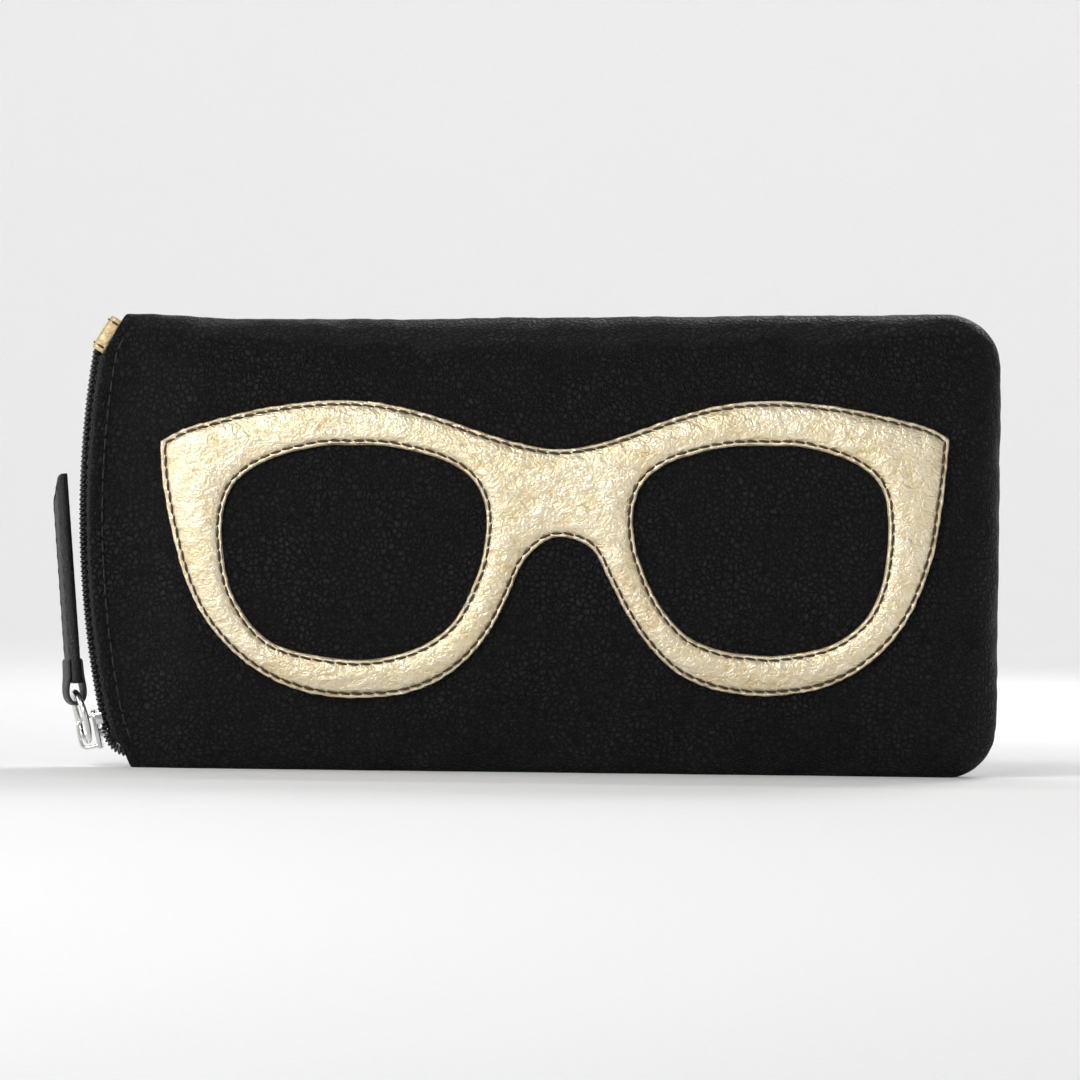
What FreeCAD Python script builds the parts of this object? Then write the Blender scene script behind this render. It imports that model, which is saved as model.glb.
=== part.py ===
# Soft zipped eyeglass case, standing on its long lower edge.
# Frame: +X along the case towards its closed end, the zipped end at -X; front face towards -Y;
# +Z up. The origin is the centre of the flat strip on the lower edge that the case rests on.
import FreeCAD, Part
import math
import os

V = FreeCAD.Vector
doc = FreeCAD.newDocument("eyeglass_case")

# ---------------------------------------------------------------- driving dimensions (mm)
sheet = doc.addObject("Spreadsheet::Sheet", "dims")
DIMS = [
    ("end_x", 89.6), ("rest_cut", 0.35), ("edge_power", 2.6), ("corner_radius", 11.0),
    ("skin_thick", 1.3), ("foam_thick", 2.7), ("lining_thick", 0.7),
    ("pocket_gap_inner", 5.4), ("bag_thick", 0.4), ("back_foam_inner", 7.8),
    ("applique_thick", 1.1),
    ("arc_radius", 200.0), ("arc_x", 107.0), ("arc_z", 52.0), ("mouth_radius", 197.5),
    ("chain_low_deg", -14.25), ("chain_high_deg", 8.7),
    ("coil_inner", 0.75), ("coil_outer", 2.15), ("coil_high", 1.4), ("tape_outer", 6.2), ("tape_thick", 0.5),
    ("slider_deg", -12.83), ("plate_long", 8.0), ("plate_wide", 6.0), ("plate_thick", 0.8),
    ("under_long", 4.8), ("under_wide", 4.6), ("post_wide", 0.8), ("post_long", 1.2),
    ("bail_wide", 1.6), ("bail_long", 6.8), ("bail_high", 3.8), ("bail_wall", 0.8),
    ("main_ring_mean", 5.0), ("ring_wire", 0.6),
    ("tab_wide", 6.5), ("main_tab_long", 43.4), ("tab_layer", 1.1), ("loop_wide", 4.6), ("loop_half", 2.2),
    ("slot_half", 1.4), ("slot_front", 1.05), ("slot_back", 1.85),
    ("window_long", 133.8), ("window_wide", 9.3), ("pocket_tape_long", 138.0), ("pocket_tape_outer", 6.0),
    ("pocket_x", 5.3), ("pocket_z", 16.2), ("pocket_slope_deg", 0.64), ("pocket_lean_deg", 11.0), ("pocket_y", 8.0),
    ("pocket_slider_u", -61.4), ("pocket_plate_long", 9.4), ("pocket_plate_wide", 6.4),
    ("pocket_ring_mean", 4.5), ("pocket_tab_long", 42.4), ("pocket_tab_wide", 6.7),
    ("divider_thick", 1.6), ("divider_long", 138.0), ("divider_high", 66.0), ("divider_y", 1.75),
    ("end_tab_wide", 9.0), ("end_tab_long", 7.4), ("end_tab_thick", 0.9),
    ("stop_long", 1.6),
]
for i, (alias, value) in enumerate(DIMS, start=1):
    sheet.set("A%d" % i, alias)
    sheet.set("B%d" % i, str(value))
    sheet.setAlias("B%d" % i, alias)
doc.recompute()


def dim(name):
    return float(sheet.get(name))


# ---------------------------------------------------------------- helpers
NODES = []


def keep(obj, label):
    obj.Label = label
    NODES.append(obj)
    return obj


def shape_feature(label, shape, placement=None):
    obj = doc.addObject("Part::Feature", label)
    obj.Shape = shape
    if placement is not None:
        obj.Placement = placement
    return obj


def bind(obj, **props):
    for prop, expr in props.items():
        obj.setExpression(prop, expr)


def box(name, length, width, height, base, placement):
    """A Part::Box whose three sizes are expressions; base is its low corner in the frame of placement."""
    obj = doc.addObject("Part::Box", name)
    bind(obj, Length=length, Width=width, Height=height)
    obj.Placement = placement.multiply(FreeCAD.Placement(V(*base), FreeCAD.Rotation()))
    return obj


def fuse(name, parts):
    obj = doc.addObject("Part::MultiFuse", name)
    obj.Shapes = parts
    obj.Refine = True
    return obj


def cut(name, base, tool):
    obj = doc.addObject("Part::Cut", name)
    obj.Base = base
    obj.Tool = tool
    return obj


def frame(origin, ex, ey, ez):
    return FreeCAD.Placement(origin, FreeCAD.Rotation(ex, ey, ez, "XYZ"))


def lerp(table, x):
    if x <= table[0][0]:
        return table[0][1]
    for (x0, y0), (x1, y1) in zip(table, table[1:]):
        if x <= x1:
            f = (x - x0) / (x1 - x0)
            f = f * f * (3 - 2 * f)
            return y0 + (y1 - y0) * f
    return table[-1][1]


# ---------------------------------------------------------------- the case's outer form
TOP_EDGE = [(-96.0, 90.0), (-84.9, 90.0), (-59.6, 89.2), (-31.4, 89.5), (-3.2, 90.2), (24.9, 90.7), (53.1, 91.3), (78.5, 91.7), (90.0, 91.7)]
HALF_THICK = [(-96.0, 6.3), (-88.0, 6.5), (-66.0, 12.0), (-44.0, 12.9), (-5.0, 13.1), (30.0, 13.0), (60.0, 12.5), (90.0, 12.3)]
END_ROUND_X = 62.0
END_X = dim("end_x")
CORNER = dim("corner_radius")
POWER = dim("edge_power")


def skin_patch(depth, side):
    """One half of the case's surface, depth(x) mm inside the outside; side -1 is the front."""
    d_end = depth(END_X)
    r = max(CORNER - d_end, 4.0)
    x_end = END_X - d_end
    x_corner = x_end - r
    xs = [-96.0, -92.0, -88.0, -84.0, -80.0, -76.0, -72.0, -67.0, -61.0, -53.0, -44.0, -32.0, -18.0, -3.0, 12.0, 27.0, 42.0, 53.0, 62.0]
    xs += [62.0 + (x_corner - 62.0) * f for f in (0.4, 0.75, 1.0)]
    xs += [x_corner + r * math.sin(math.radians(a)) for a in (16, 31, 45, 57, 67, 75, 82)]
    x_last = xs[-1]
    rows = []
    for x in xs:
        d = depth(x)
        low = -dim("rest_cut") + d
        high = lerp(TOP_EDGE, x) - d
        thick = lerp(HALF_THICK, x) - d
        if x > x_corner:
            drop = r - math.sqrt(max(r * r - (x - x_corner) ** 2, 0.0))
            low += drop
            high -= drop
        if x > END_ROUND_X:
            f = min((x - END_ROUND_X) / (x_last - END_ROUND_X), 1.0)
            thick *= max(1.0 - f ** POWER, 0.0) ** (1.0 / POWER)
        mid, half = (low + high) / 2.0, (high - low) / 2.0
        row = []
        n = 20
        for j in range(n + 1):
            a = math.pi * j / n
            c, s = math.cos(a), math.sin(a)
            if j in (0, n):
                s = 0.0
            z = mid - half * math.copysign(abs(c) ** (2.0 / POWER), c)
            row.append(V(x, side * thick * s ** (2.0 / POWER), z))
        rows.append(row)
    surface = Part.BSplineSurface()
    surface.interpolate(rows)
    return surface, rows


def half_body(depth, side):
    """The solid between one half surface and the case's middle plane, open end closed far past the mouth."""
    surface, rows = skin_patch(depth, side)
    skin = surface.toShape()
    edges = skin.Edges

    def edge_at(p, q):
        best = None
        for e in edges:
            a, b = e.Vertexes[0].Point, e.Vertexes[-1].Point
            gap = min(a.distanceToPoint(p) + b.distanceToPoint(q), a.distanceToPoint(q) + b.distanceToPoint(p))
            if best is None or gap < best[0]:
                best = (gap, e)
        return best[1]

    p00, p01, p10, p11 = rows[0][0], rows[0][-1], rows[-1][0], rows[-1][-1]
    low, high = edge_at(p00, p10), edge_at(p01, p11)
    end = edge_at(p10, p11)
    left = edge_at(p00, p01)
    line = Part.makeLine(low.Vertexes[0].Point if low.Vertexes[0].Point.distanceToPoint(p00) < low.Vertexes[-1].Point.distanceToPoint(p00) else low.Vertexes[-1].Point,
                         high.Vertexes[0].Point if high.Vertexes[0].Point.distanceToPoint(p01) < high.Vertexes[-1].Point.distanceToPoint(p01) else high.Vertexes[-1].Point)
    flat = Part.Face(Part.Wire(Part.__sortEdges__([low, end, high, line])))
    open_end = Part.Face(Part.Wire(Part.__sortEdges__([left, line])))
    shell = Part.makeShell([skin, flat, open_end])
    shell.sewShape()
    solid = Part.makeSolid(shell)
    if solid.Volume < 0:
        solid.reverse()
    return solid


def even(value):
    return lambda x: value


SKIN = dim("skin_thick")
FOAM = dim("foam_thick")
LINING = dim("lining_thick")
FRONT_FOAM = [(-96.0, 0.25), (-86.0, 0.25), (-72.0, FOAM), (90.0, FOAM)]
BACK_FOAM = [(-96.0, 0.25), (-86.0, 0.25), (-64.0, dim("back_foam_inner") - SKIN), (90.0, dim("back_foam_inner") - SKIN)]

ARC = V(dim("arc_x"), 0, dim("arc_z"))


def arc_point(radius, z):
    dz = z - ARC.z
    return V(ARC.x - math.sqrt(radius * radius - dz * dz), 0, z)


def mouth_prism(inset, name_radius=None):
    """Everything on the closed side of the curved mouth line, a thick slab across the case."""
    pts = []
    for z in (-8, -2, 3, 8, 14, 22, 34, 46, 58, 70, 78, 83, 87, 91, 98):
        r = dim("mouth_radius") - inset
        if z < 10:
            r -= min((10 - z) * 0.26, 3.4)
        if z > 82:
            r -= min((z - 82) * 0.32, 3.4)
        p = arc_point(r, z)
        pts.append(V(p.x, -30, p.z))
    curve = Part.BSplineCurve()
    curve.interpolate(pts)
    a, b = pts[0], pts[-1]
    c, d = V(110, -30, b.z), V(110, -30, a.z)
    wire = Part.Wire([curve.toShape(), Part.makeLine(b, c), Part.makeLine(c, d), Part.makeLine(d, a)])
    return Part.Face(wire).extrude(V(0, 60, 0))


FLOOR = Part.makeBox(260, 80, 40, V(-130, -40, -40))
MOUTH = mouth_prism(0.0)
MOUTH_IN = mouth_prism(0.5)
MOUTH_FOAM = mouth_prism(7.5)


def layer(outer, inner, side, trim):
    solid = half_body(outer, side).cut(half_body(inner, side))
    return solid.common(trim).cut(FLOOR)


def one_solid(shape, what):
    solids = sorted(shape.Solids, key=lambda s: s.Volume)
    if not solids:
        raise RuntimeError("nothing left of " + what)
    if len(solids) > 1:
        print(what, "has", len(solids), "solids", [round(s.Volume, 2) for s in solids])
    return solids[-1]


# frame of the back pocket's zip: local x along the zip, local y down the wall, local z out of the wall
slope, lean = math.radians(dim("pocket_slope_deg")), math.radians(dim("pocket_lean_deg"))
PU = V(math.cos(slope), 0, math.sin(slope))
PN = V(0, math.cos(lean), -math.sin(lean))
PN = (PN - PU * PN.dot(PU)).normalize()
PW = PN.cross(PU)
POCKET = frame(V(dim("pocket_x"), dim("pocket_y"), dim("pocket_z")), PU, PW, PN)


def local_box(x0, x1, y0, y1, z0, z1, placement):
    shape = Part.makeBox(x1 - x0, y1 - y0, z1 - z0, V(x0, y0, z0))
    shape.Placement = placement.multiply(shape.Placement)
    return shape


# ---------------------------------------------------------------- walls
front_skin = one_solid(layer(even(0.0), even(SKIN), -1, MOUTH), "front_panel")
keep(shape_feature("front_panel", front_skin), "front_panel")

HALF_WINDOW = dim("window_long") / 2
window = local_box(-HALF_WINDOW, HALF_WINDOW, -dim("window_wide") / 2, dim("window_wide") / 2, -3, 8, POCKET)
back_skin = one_solid(layer(even(0.0), even(SKIN), 1, MOUTH).cut(window), "back_panel")
keep(shape_feature("back_panel", back_skin), "back_panel")

foam_front = one_solid(layer(even(SKIN), lambda x: SKIN + lerp(FRONT_FOAM, x), -1, MOUTH_FOAM), "front_padding")
keep(shape_feature("front_padding", foam_front), "front_padding")

pocket_room = half_body(even(SKIN), 1).cut(half_body(even(dim("pocket_gap_inner") + dim("bag_thick")), 1)).common(Part.makeBox(145, 40, 75.5, V(-69, 0, 7.0)))
foam_back = layer(even(SKIN), lambda x: SKIN + lerp(BACK_FOAM, x), 1, MOUTH_FOAM).cut(pocket_room)
keep(shape_feature("back_padding", one_solid(foam_back, "back_padding")), "back_padding")

lining_front = one_solid(layer(lambda x: SKIN + lerp(FRONT_FOAM, x), lambda x: SKIN + LINING + lerp(FRONT_FOAM, x), -1, MOUTH_IN), "front_lining")
keep(shape_feature("front_lining", lining_front), "front_lining")
lining_back = one_solid(layer(lambda x: SKIN + lerp(BACK_FOAM, x), lambda x: SKIN + LINING + lerp(BACK_FOAM, x), 1, MOUTH_IN), "back_lining")
keep(shape_feature("back_lining", lining_back), "back_lining")

# pocket bag: an outer sheet above the window and an inner sheet behind all of it
bag_room = Part.makeBox(143, 40, 74.5, V(-68, 0, 7.5))
outer_sheet = half_body(even(SKIN), 1).cut(half_body(even(SKIN + dim("bag_thick")), 1)).common(Part.makeBox(143, 40, 56.0, V(-68, 0, 26.0)))
keep(shape_feature("pocket_bag_outer", one_solid(outer_sheet, "pocket_bag_outer")), "pocket_bag_outer")
inner_sheet = half_body(even(dim("pocket_gap_inner")), 1).cut(half_body(even(dim("pocket_gap_inner") + dim("bag_thick")), 1)).common(bag_room)
keep(shape_feature("pocket_bag_inner", one_solid(inner_sheet, "pocket_bag_inner")), "pocket_bag_inner")

# ---------------------------------------------------------------- spectacle-frame applique on the front
BROW_LINE = [
    (-76.2, 64.5), (-71.3, 67.1), (-64.1, 69.2), (-56.9, 71.0), (-49.5, 72.2), (-42.1, 72.9), (-34.6, 72.6), (-27.3, 71.3),
    (-20.1, 69.3), (-13.0, 66.9), (-5.8, 64.9), (1.6, 63.8), (9.0, 64.8), (16.1, 67.1), (23.1, 69.7), (30.2, 72.0),
    (37.5, 73.4), (44.9, 73.8), (52.4, 73.3), (59.8, 72.3), (67.1, 70.8), (74.4, 69.0), (78.6, 66.8),
]
LOWER_LINE = [
    (-76.2, 64.5), (-75.9, 58.8), (-74.7, 51.5), (-73.0, 44.2), (-70.8, 37.1), (-67.5, 30.4), (-62.8, 24.6), (-57.0, 19.9),
    (-50.3, 16.6), (-43.1, 14.9), (-35.6, 14.7), (-28.2, 15.5), (-21.2, 18.2), (-15.3, 22.7), (-10.8, 28.6), (-7.5, 35.3),
    (-4.4, 42.1), (1.3, 46.5), (8.3, 44.7), (12.1, 38.4), (15.6, 31.8), (19.9, 25.7), (25.3, 20.5), (32.0, 17.4),
    (39.4, 16.1), (46.8, 16.2), (54.2, 17.6), (60.9, 20.8), (66.6, 25.6), (71.0, 31.6), (74.0, 38.4), (76.1, 45.6),
    (77.2, 53.0), (78.1, 60.4), (78.6, 66.8),
]
LENS_LEFT = [
    (-43.0, 64.1), (-38.7, 64.1), (-34.5, 64.2), (-30.3, 63.8), (-26.1, 63.0), (-22.0, 61.9), (-18.1, 60.2), (-14.8, 57.6),
    (-12.7, 53.9), (-12.0, 49.7), (-12.3, 45.4), (-13.0, 41.2), (-14.4, 37.2), (-16.1, 33.3), (-18.3, 29.7), (-21.4, 26.8),
    (-25.1, 24.6), (-29.1, 23.2), (-33.3, 22.3), (-37.5, 22.0), (-41.7, 22.3), (-45.9, 22.9), (-50.1, 23.8), (-54.0, 25.3),
    (-57.3, 28.0), (-59.9, 31.4), (-61.9, 35.1), (-63.1, 39.2), (-63.7, 43.4), (-64.0, 47.7), (-63.5, 51.9), (-62.0, 55.8),
    (-59.0, 58.8), (-55.3, 60.9), (-51.3, 62.4), (-47.2, 63.4),
]
LENS_RIGHT = [
    (36.5, 64.8), (40.6, 65.0), (44.7, 65.0), (48.9, 65.0), (53.0, 64.2), (57.0, 63.1), (60.8, 61.4), (64.0, 58.9),
    (66.1, 55.3), (66.7, 51.2), (66.8, 47.1), (66.5, 43.0), (65.9, 38.9), (64.6, 34.9), (62.6, 31.3), (59.7, 28.4),
    (56.2, 26.2), (52.2, 24.9), (48.1, 24.2), (44.0, 23.7), (39.9, 24.0), (35.8, 24.4), (31.8, 25.5), (28.0, 27.2),
    (24.9, 30.0), (22.3, 33.2), (20.2, 36.8), (18.6, 40.6), (17.3, 44.5), (16.7, 48.6), (16.8, 52.8), (18.1, 56.7),
    (20.8, 59.7), (24.4, 61.8), (28.3, 63.1), (32.4, 64.2),
]


def spline_edge(points, closed=False):
    curve = Part.BSplineCurve()
    pts = [V(x, -30, z) for x, z in points]
    if closed:
        curve.interpolate(Points=pts, PeriodicFlag=True)
    else:
        curve.interpolate(pts)
    return curve.toShape()


outline = Part.Face(Part.Wire([spline_edge(BROW_LINE), spline_edge(LOWER_LINE)])).extrude(V(0, 30, 0))
for ring in (LENS_LEFT, LENS_RIGHT):
    outline = outline.cut(Part.Face(Part.Wire([spline_edge(ring, True)])).extrude(V(0, 30, 0)))
raised = half_body(even(-dim("applique_thick")), -1).cut(half_body(even(0.0), -1))
keep(shape_feature("glasses_applique", one_solid(raised.common(outline), "glasses_applique")), "glasses_applique")


# ---------------------------------------------------------------- divider
def role_plane(body, role):
    return [f for f in body.Origin.OriginFeatures if f.Role == role][0]


def rectangle_pad(body, name, plane, length, width, height, offset=None, centred=True):
    """A centred rectangle, its two sizes bound to the sheet, padded by a bound height."""
    sketch = body.newObject("Sketcher::SketchObject", name + "_sketch")
    sketch.AttachmentSupport = [(role_plane(body, plane), "")]
    sketch.MapMode = "FlatFace"
    if offset is not None:
        sketch.AttachmentOffset = offset
    import Sketcher
    c = [V(-5, -3, 0), V(5, -3, 0), V(5, 3, 0), V(-5, 3, 0)]
    for i in range(4):
        sketch.addGeometry(Part.LineSegment(c[i], c[(i + 1) % 4]), False)
    for i in range(4):
        sketch.addConstraint(Sketcher.Constraint("Coincident", i, 2, (i + 1) % 4, 1))
    sketch.addConstraint(Sketcher.Constraint("Horizontal", 0))
    sketch.addConstraint(Sketcher.Constraint("Horizontal", 2))
    sketch.addConstraint(Sketcher.Constraint("Vertical", 1))
    sketch.addConstraint(Sketcher.Constraint("Vertical", 3))
    sketch.addConstraint(Sketcher.Constraint("Symmetric", 0, 1, 1, 2, -1, 1))
    kx = sketch.addConstraint(Sketcher.Constraint("DistanceX", 0, 1, 0, 2, 10.0))
    ky = sketch.addConstraint(Sketcher.Constraint("DistanceY", 1, 1, 1, 2, 6.0))
    sketch.setExpression("Constraints[%d]" % kx, length)
    sketch.setExpression("Constraints[%d]" % ky, width)
    pad = body.newObject("PartDesign::Pad", name)
    pad.Profile = sketch
    pad.setExpression("Length", height)
    pad.Midplane = centred
    doc.recompute()
    return pad


def round_edges(body, pad, name, radius, along):
    """Fillets the pad's edges that run along one local axis."""
    picks = []
    for i, e in enumerate(pad.Shape.Edges, start=1):
        a, b = e.Vertexes[0].Point, e.Vertexes[-1].Point
        d = (b - a)
        if d.Length > 1e-6 and abs(abs(d.normalize().dot(along)) - 1) < 1e-6:
            picks.append("Edge%d" % i)
    fillet = body.newObject("PartDesign::Fillet", name)
    fillet.Base = (pad, picks)
    fillet.Radius = radius
    doc.recompute()
    return fillet


divider = doc.addObject("PartDesign::Body", "divider")
board = rectangle_pad(divider, "board", "XY_Plane", "dims.divider_long", "dims.divider_high", "dims.divider_thick")
divider.Tip = round_edges(divider, board, "board_corners", 5.0, V(0, 0, 1))
divider.Placement = frame(V(0.5, -dim("divider_y"), 45.6), V(1, 0, 0), V(0, 0, 1), V(0, -1, 0))
keep(divider, "divider")


# ---------------------------------------------------------------- main zip, on an arc about ARC
def arc_strip(r0, r1, y0, y1, deg0, deg1):
    """A strip with a rectangular section, turned about the arc's axis; 0 degrees points to -X, positive is up."""
    a = Part.makePolygon([V(-r0, y0, 0), V(-r1, y0, 0), V(-r1, y1, 0), V(-r0, y1, 0), V(-r0, y0, 0)])
    face = Part.Face(a)
    face.rotate(V(0, 0, 0), V(0, 1, 0), deg0)
    solid = face.revolve(V(0, 0, 0), V(0, 1, 0), deg1 - deg0)
    solid.translate(ARC)
    if solid.Volume < 0:
        solid.reverse()
    return solid


R = dim("arc_radius")
LOW, HIGH = dim("chain_low_deg"), dim("chain_high_deg")
coil_floor = R - dim("coil_high")
tape_top = coil_floor - 0.05
tape_floor = tape_top - dim("tape_thick")
ci, co, to = dim("coil_inner"), dim("coil_outer"), dim("tape_outer")
for word, sgn in (("front", -1), ("back", 1)):
    ys = sorted((sgn * ci, sgn * to))
    keep(shape_feature("main_tape_" + word, arc_strip(tape_floor, tape_top, ys[0], ys[1], LOW, HIGH)), "main_tape_" + word)
    ys = sorted((sgn * ci, sgn * co))
    keep(shape_feature("main_coil_" + word, arc_strip(coil_floor, R, ys[0], ys[1], LOW, HIGH)), "main_coil_" + word)

# gold leather tab folded over the chain's upper end, leaning in round the case's corner
END_UP = V(0.52, 0, 0.854).normalize()
END_OUT = V(-END_UP.z, 0, END_UP.x)
END_TAB = frame(V(-90.75, 0, 82.4), END_UP, V(0, 1, 0), END_OUT)
end_plate = box("end_tab_plate", "dims.end_tab_long", "dims.end_tab_wide", "dims.end_tab_thick", (0.7, -dim("end_tab_wide") / 2, -0.5), END_TAB)
end_cheeks = [box("end_tab_cheek_%s" % n, "dims.end_tab_long - 1.6", "dims.end_tab_thick", "1.4",
                  (1.7, s, -1.9), END_TAB) for n, s in (("front", -dim("end_tab_wide") / 2), ("back", dim("end_tab_wide") / 2 - dim("end_tab_thick")))]
keep(fuse("zip_end_tab", [end_plate] + end_cheeks), "zip_end_tab")

# crimped stops at the two ends of the main zip, fixed to the case
stops = [arc_strip(tape_floor - 1.05, tape_floor - 0.35, -2.0, 2.0, HIGH - 0.5, HIGH - 0.05),
         arc_strip(tape_floor - 1.05, tape_floor - 0.35, -2.0, 2.0, LOW + 0.02, LOW + 0.42)]
keep(shape_feature("main_zip_stops", Part.makeCompound(stops)), "main_zip_stops")


# ---------------------------------------------------------------- sliders
def arc_frame(deg):
    a = math.radians(deg)
    out = V(-math.cos(a), 0, math.sin(a))
    up = V(math.sin(a), 0, math.cos(a))
    return frame(ARC + out * R, up, V(0, 1, 0), out)


SLIDER = arc_frame(dim("slider_deg"))
LIFT = 0.4


def centred(name, length, width, height, cx, z0, placement):
    """A box centred on local y, its sizes given by sheet aliases, its middle at local x = cx."""
    return box(name, "dims." + length, "dims." + width, "dims." + height,
               (cx - dim(length) / 2, -dim(width) / 2, z0), placement)


def rounded(name, base, radius):
    """Rounds the four corners of a plate that stand along its local z."""
    doc.recompute()
    axis = base.Placement.Rotation.multVec(V(0, 0, 1))
    picks = []
    for i, e in enumerate(base.Shape.Edges, start=1):
        d = e.Vertexes[-1].Point - e.Vertexes[0].Point
        if d.Length > 1e-6 and abs(abs(d.normalize().dot(axis)) - 1) < 1e-6:
            picks.append((i, radius, radius))
    f = doc.addObject("Part::Fillet", name)
    f.Base = base
    f.Edges = picks
    return f


plate = rounded("main_plate", centred("main_plate_box", "plate_long", "plate_wide", "plate_thick", 0.0, LIFT, SLIDER), 2.0)
under = rounded("main_under", centred("main_under_box", "under_long", "under_wide", "plate_thick", 0.8, -3.2, SLIDER), 1.0)
post = box("main_post", "dims.post_long", "dims.post_wide", "3.6 + 0.4", (-1.5, -dim("post_wide") / 2, -2.8), SLIDER)
keep(fuse("main_slider_body", [plate, under, post]), "main_slider_body")

bail_block = centred("main_bail_block", "bail_long", "bail_wide", "bail_high", -0.2, LIFT + 0.8, SLIDER)
bail_hole = box("main_bail_hole", "dims.bail_long - 2 * dims.bail_wall", "dims.bail_wide + 2", "dims.bail_high - dims.bail_wall",
                (-0.2 - dim("bail_long") / 2 + dim("bail_wall"), -dim("bail_wide") / 2 - 1, LIFT + 0.8), SLIDER)
keep(cut("main_slider_crown", bail_block, bail_hole), "main_slider_crown")

# ring: its lowest wire passes under the bail, and it leans out a little and is turned towards the front
RING_TURN = math.radians(14.0)
ring_low = SLIDER.multVec(V(-1.9, 0, 3.1))
ring_dir = V(-0.28, 0, 0.96).normalize()
ring_axis = V(-math.sin(RING_TURN), math.cos(RING_TURN), 0)
ring_axis = (ring_axis - ring_dir * ring_axis.dot(ring_dir)).normalize()
ring_norm = ring_dir.cross(ring_axis)
RM = dim("main_ring_mean")
ring = doc.addObject("Part::Torus", "main_pull_ring")
bind(ring, Radius1="dims.main_ring_mean", Radius2="dims.ring_wire")
ring.Placement = frame(ring_low + ring_dir * RM, ring_dir, ring_axis, ring_norm)
keep(ring, "main_pull_ring")

# pull tab: a black layer that folds round the ring and a gold layer behind it
ring_top = ring_low + ring_dir * (2 * RM)
tab_dir = V(-0.082, 0, 0.997).normalize()
TAB_TURN = math.radians(16.0)
tab_out = V(-math.cos(TAB_TURN), -math.sin(TAB_TURN), 0)
tab_out = (tab_out - tab_dir * tab_out.dot(tab_dir)).normalize()
TAB = frame(ring_top, tab_dir, tab_out.cross(tab_dir), tab_out)


def pull_tab(prefix, place, long_name, wide_name, face_word, back_word):
    layer_t = dim("tab_layer")
    outer = rounded(prefix + "_outer_strip", box(prefix + "_outer_box", "dims.%s - 1.8" % long_name, "dims." + wide_name, "dims.tab_layer",
                                               (1.8, -dim(wide_name) / 2, 0.0), place), 1.6)
    block = box(prefix + "_loop_block", "dims.slot_back + dims.slot_front + 1.9", "dims.loop_wide", "2 * dims.loop_half",
                (-dim("slot_back") - 0.85, -dim("loop_wide") / 2, -dim("loop_half")), place)
    hole = box(prefix + "_loop_hole", "dims.slot_back + dims.slot_front", "dims.loop_wide + 2", "2 * dims.slot_half",
               (-dim("slot_back"), -dim("loop_wide") / 2 - 1, -dim("slot_half")), place)
    loop = cut(prefix + "_loop", block, hole)
    face = fuse(prefix + "_" + face_word, [outer, loop])
    keep(face, prefix + "_" + face_word)
    inner = rounded(prefix + "_inner_strip", box(prefix + "_inner_box", "dims.%s - 2.1" % long_name, "dims." + wide_name, "dims.tab_layer",
                                               (2.1, -dim(wide_name) / 2, -layer_t), place), 1.6)
    inner.Label = prefix + "_" + back_word
    keep(inner, prefix + "_" + back_word)


pull_tab("main_pull_tab", TAB, "main_tab_long", "tab_wide", "black", "gold")

# ---------------------------------------------------------------- pocket zip
for word, sgn in (("upper", -1), ("lower", 1)):
    y0 = min(sgn * ci, sgn * dim("pocket_tape_outer"))
    keep(box("pocket_tape_" + word, "dims.pocket_tape_long", "dims.pocket_tape_outer - dims.coil_inner", "dims.tape_thick",
             (-dim("pocket_tape_long") / 2, y0, -0.25), POCKET), "pocket_tape_" + word)
    y0 = min(sgn * ci, sgn * co)
    keep(box("pocket_coil_" + word, "dims.window_long - 1", "dims.coil_outer - dims.coil_inner", "dims.coil_high",
             (-HALF_WINDOW + 0.5, y0, 0.3), POCKET), "pocket_coil_" + word)

PS = dim("pocket_slider_u")
p_plate = rounded("pocket_plate", centred("pocket_plate_box", "pocket_plate_long", "pocket_plate_wide", "plate_thick", PS, 2.1, POCKET), 2.9)
p_under = rounded("pocket_under", centred("pocket_under_box", "under_long", "under_wide", "plate_thick", PS - 0.6, -1.5, POCKET), 1.0)
p_post = box("pocket_post", "dims.post_long", "dims.post_wide", "3.5", (PS - 2.9, -dim("post_wide") / 2, -1.1), POCKET)
keep(fuse("pocket_slider_body", [p_plate, p_under, p_post]), "pocket_slider_body")

p_block = box("pocket_bail_block", "5.7", "2.0", "4.3", (PS - 1.0, -1.0, 2.9), POCKET)
p_hole = box("pocket_bail_hole", "4.1", "4.0", "3.5", (PS - 0.2, -2.0, 2.9), POCKET)
keep(cut("pocket_slider_crown", p_block, p_hole), "pocket_slider_crown")

# ring lies along the wall, its wire under the bail; the tab lies along the zip
PR = dim("pocket_ring_mean")
ring_at = V(PS + 1.7, 0, 5.15)
p_dir = V(math.cos(math.radians(28)), math.sin(math.radians(28)), 0.06).normalize()
p_side = V(0, 0, 1).cross(p_dir).normalize()
p_norm = p_dir.cross(p_side)
rot = POCKET.Rotation
p_ring = doc.addObject("Part::Torus", "pocket_pull_ring")
bind(p_ring, Radius1="dims.pocket_ring_mean", Radius2="dims.ring_wire")
p_ring.Placement = frame(POCKET.multVec(ring_at + p_dir * PR), rot.multVec(p_dir), rot.multVec(p_side), rot.multVec(p_norm))
keep(p_ring, "pocket_pull_ring")

# the tab hangs from the ring's far side
t_angle = math.radians(-28.0)
tab_root = ring_at + p_dir * PR + (p_dir * math.cos(t_angle) + p_side * math.sin(t_angle)) * PR
t_dir = V(1.0, -0.028, 0.0).normalize()
t_out = V(0, 0, 1)
t_out = (t_out - t_dir * t_out.dot(t_dir)).normalize()
PTAB = frame(POCKET.multVec(tab_root), rot.multVec(t_dir), rot.multVec(t_out.cross(t_dir)), rot.multVec(t_out))
pull_tab("pocket_pull_tab", PTAB, "pocket_tab_long", "pocket_tab_wide", "face", "back")

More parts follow.
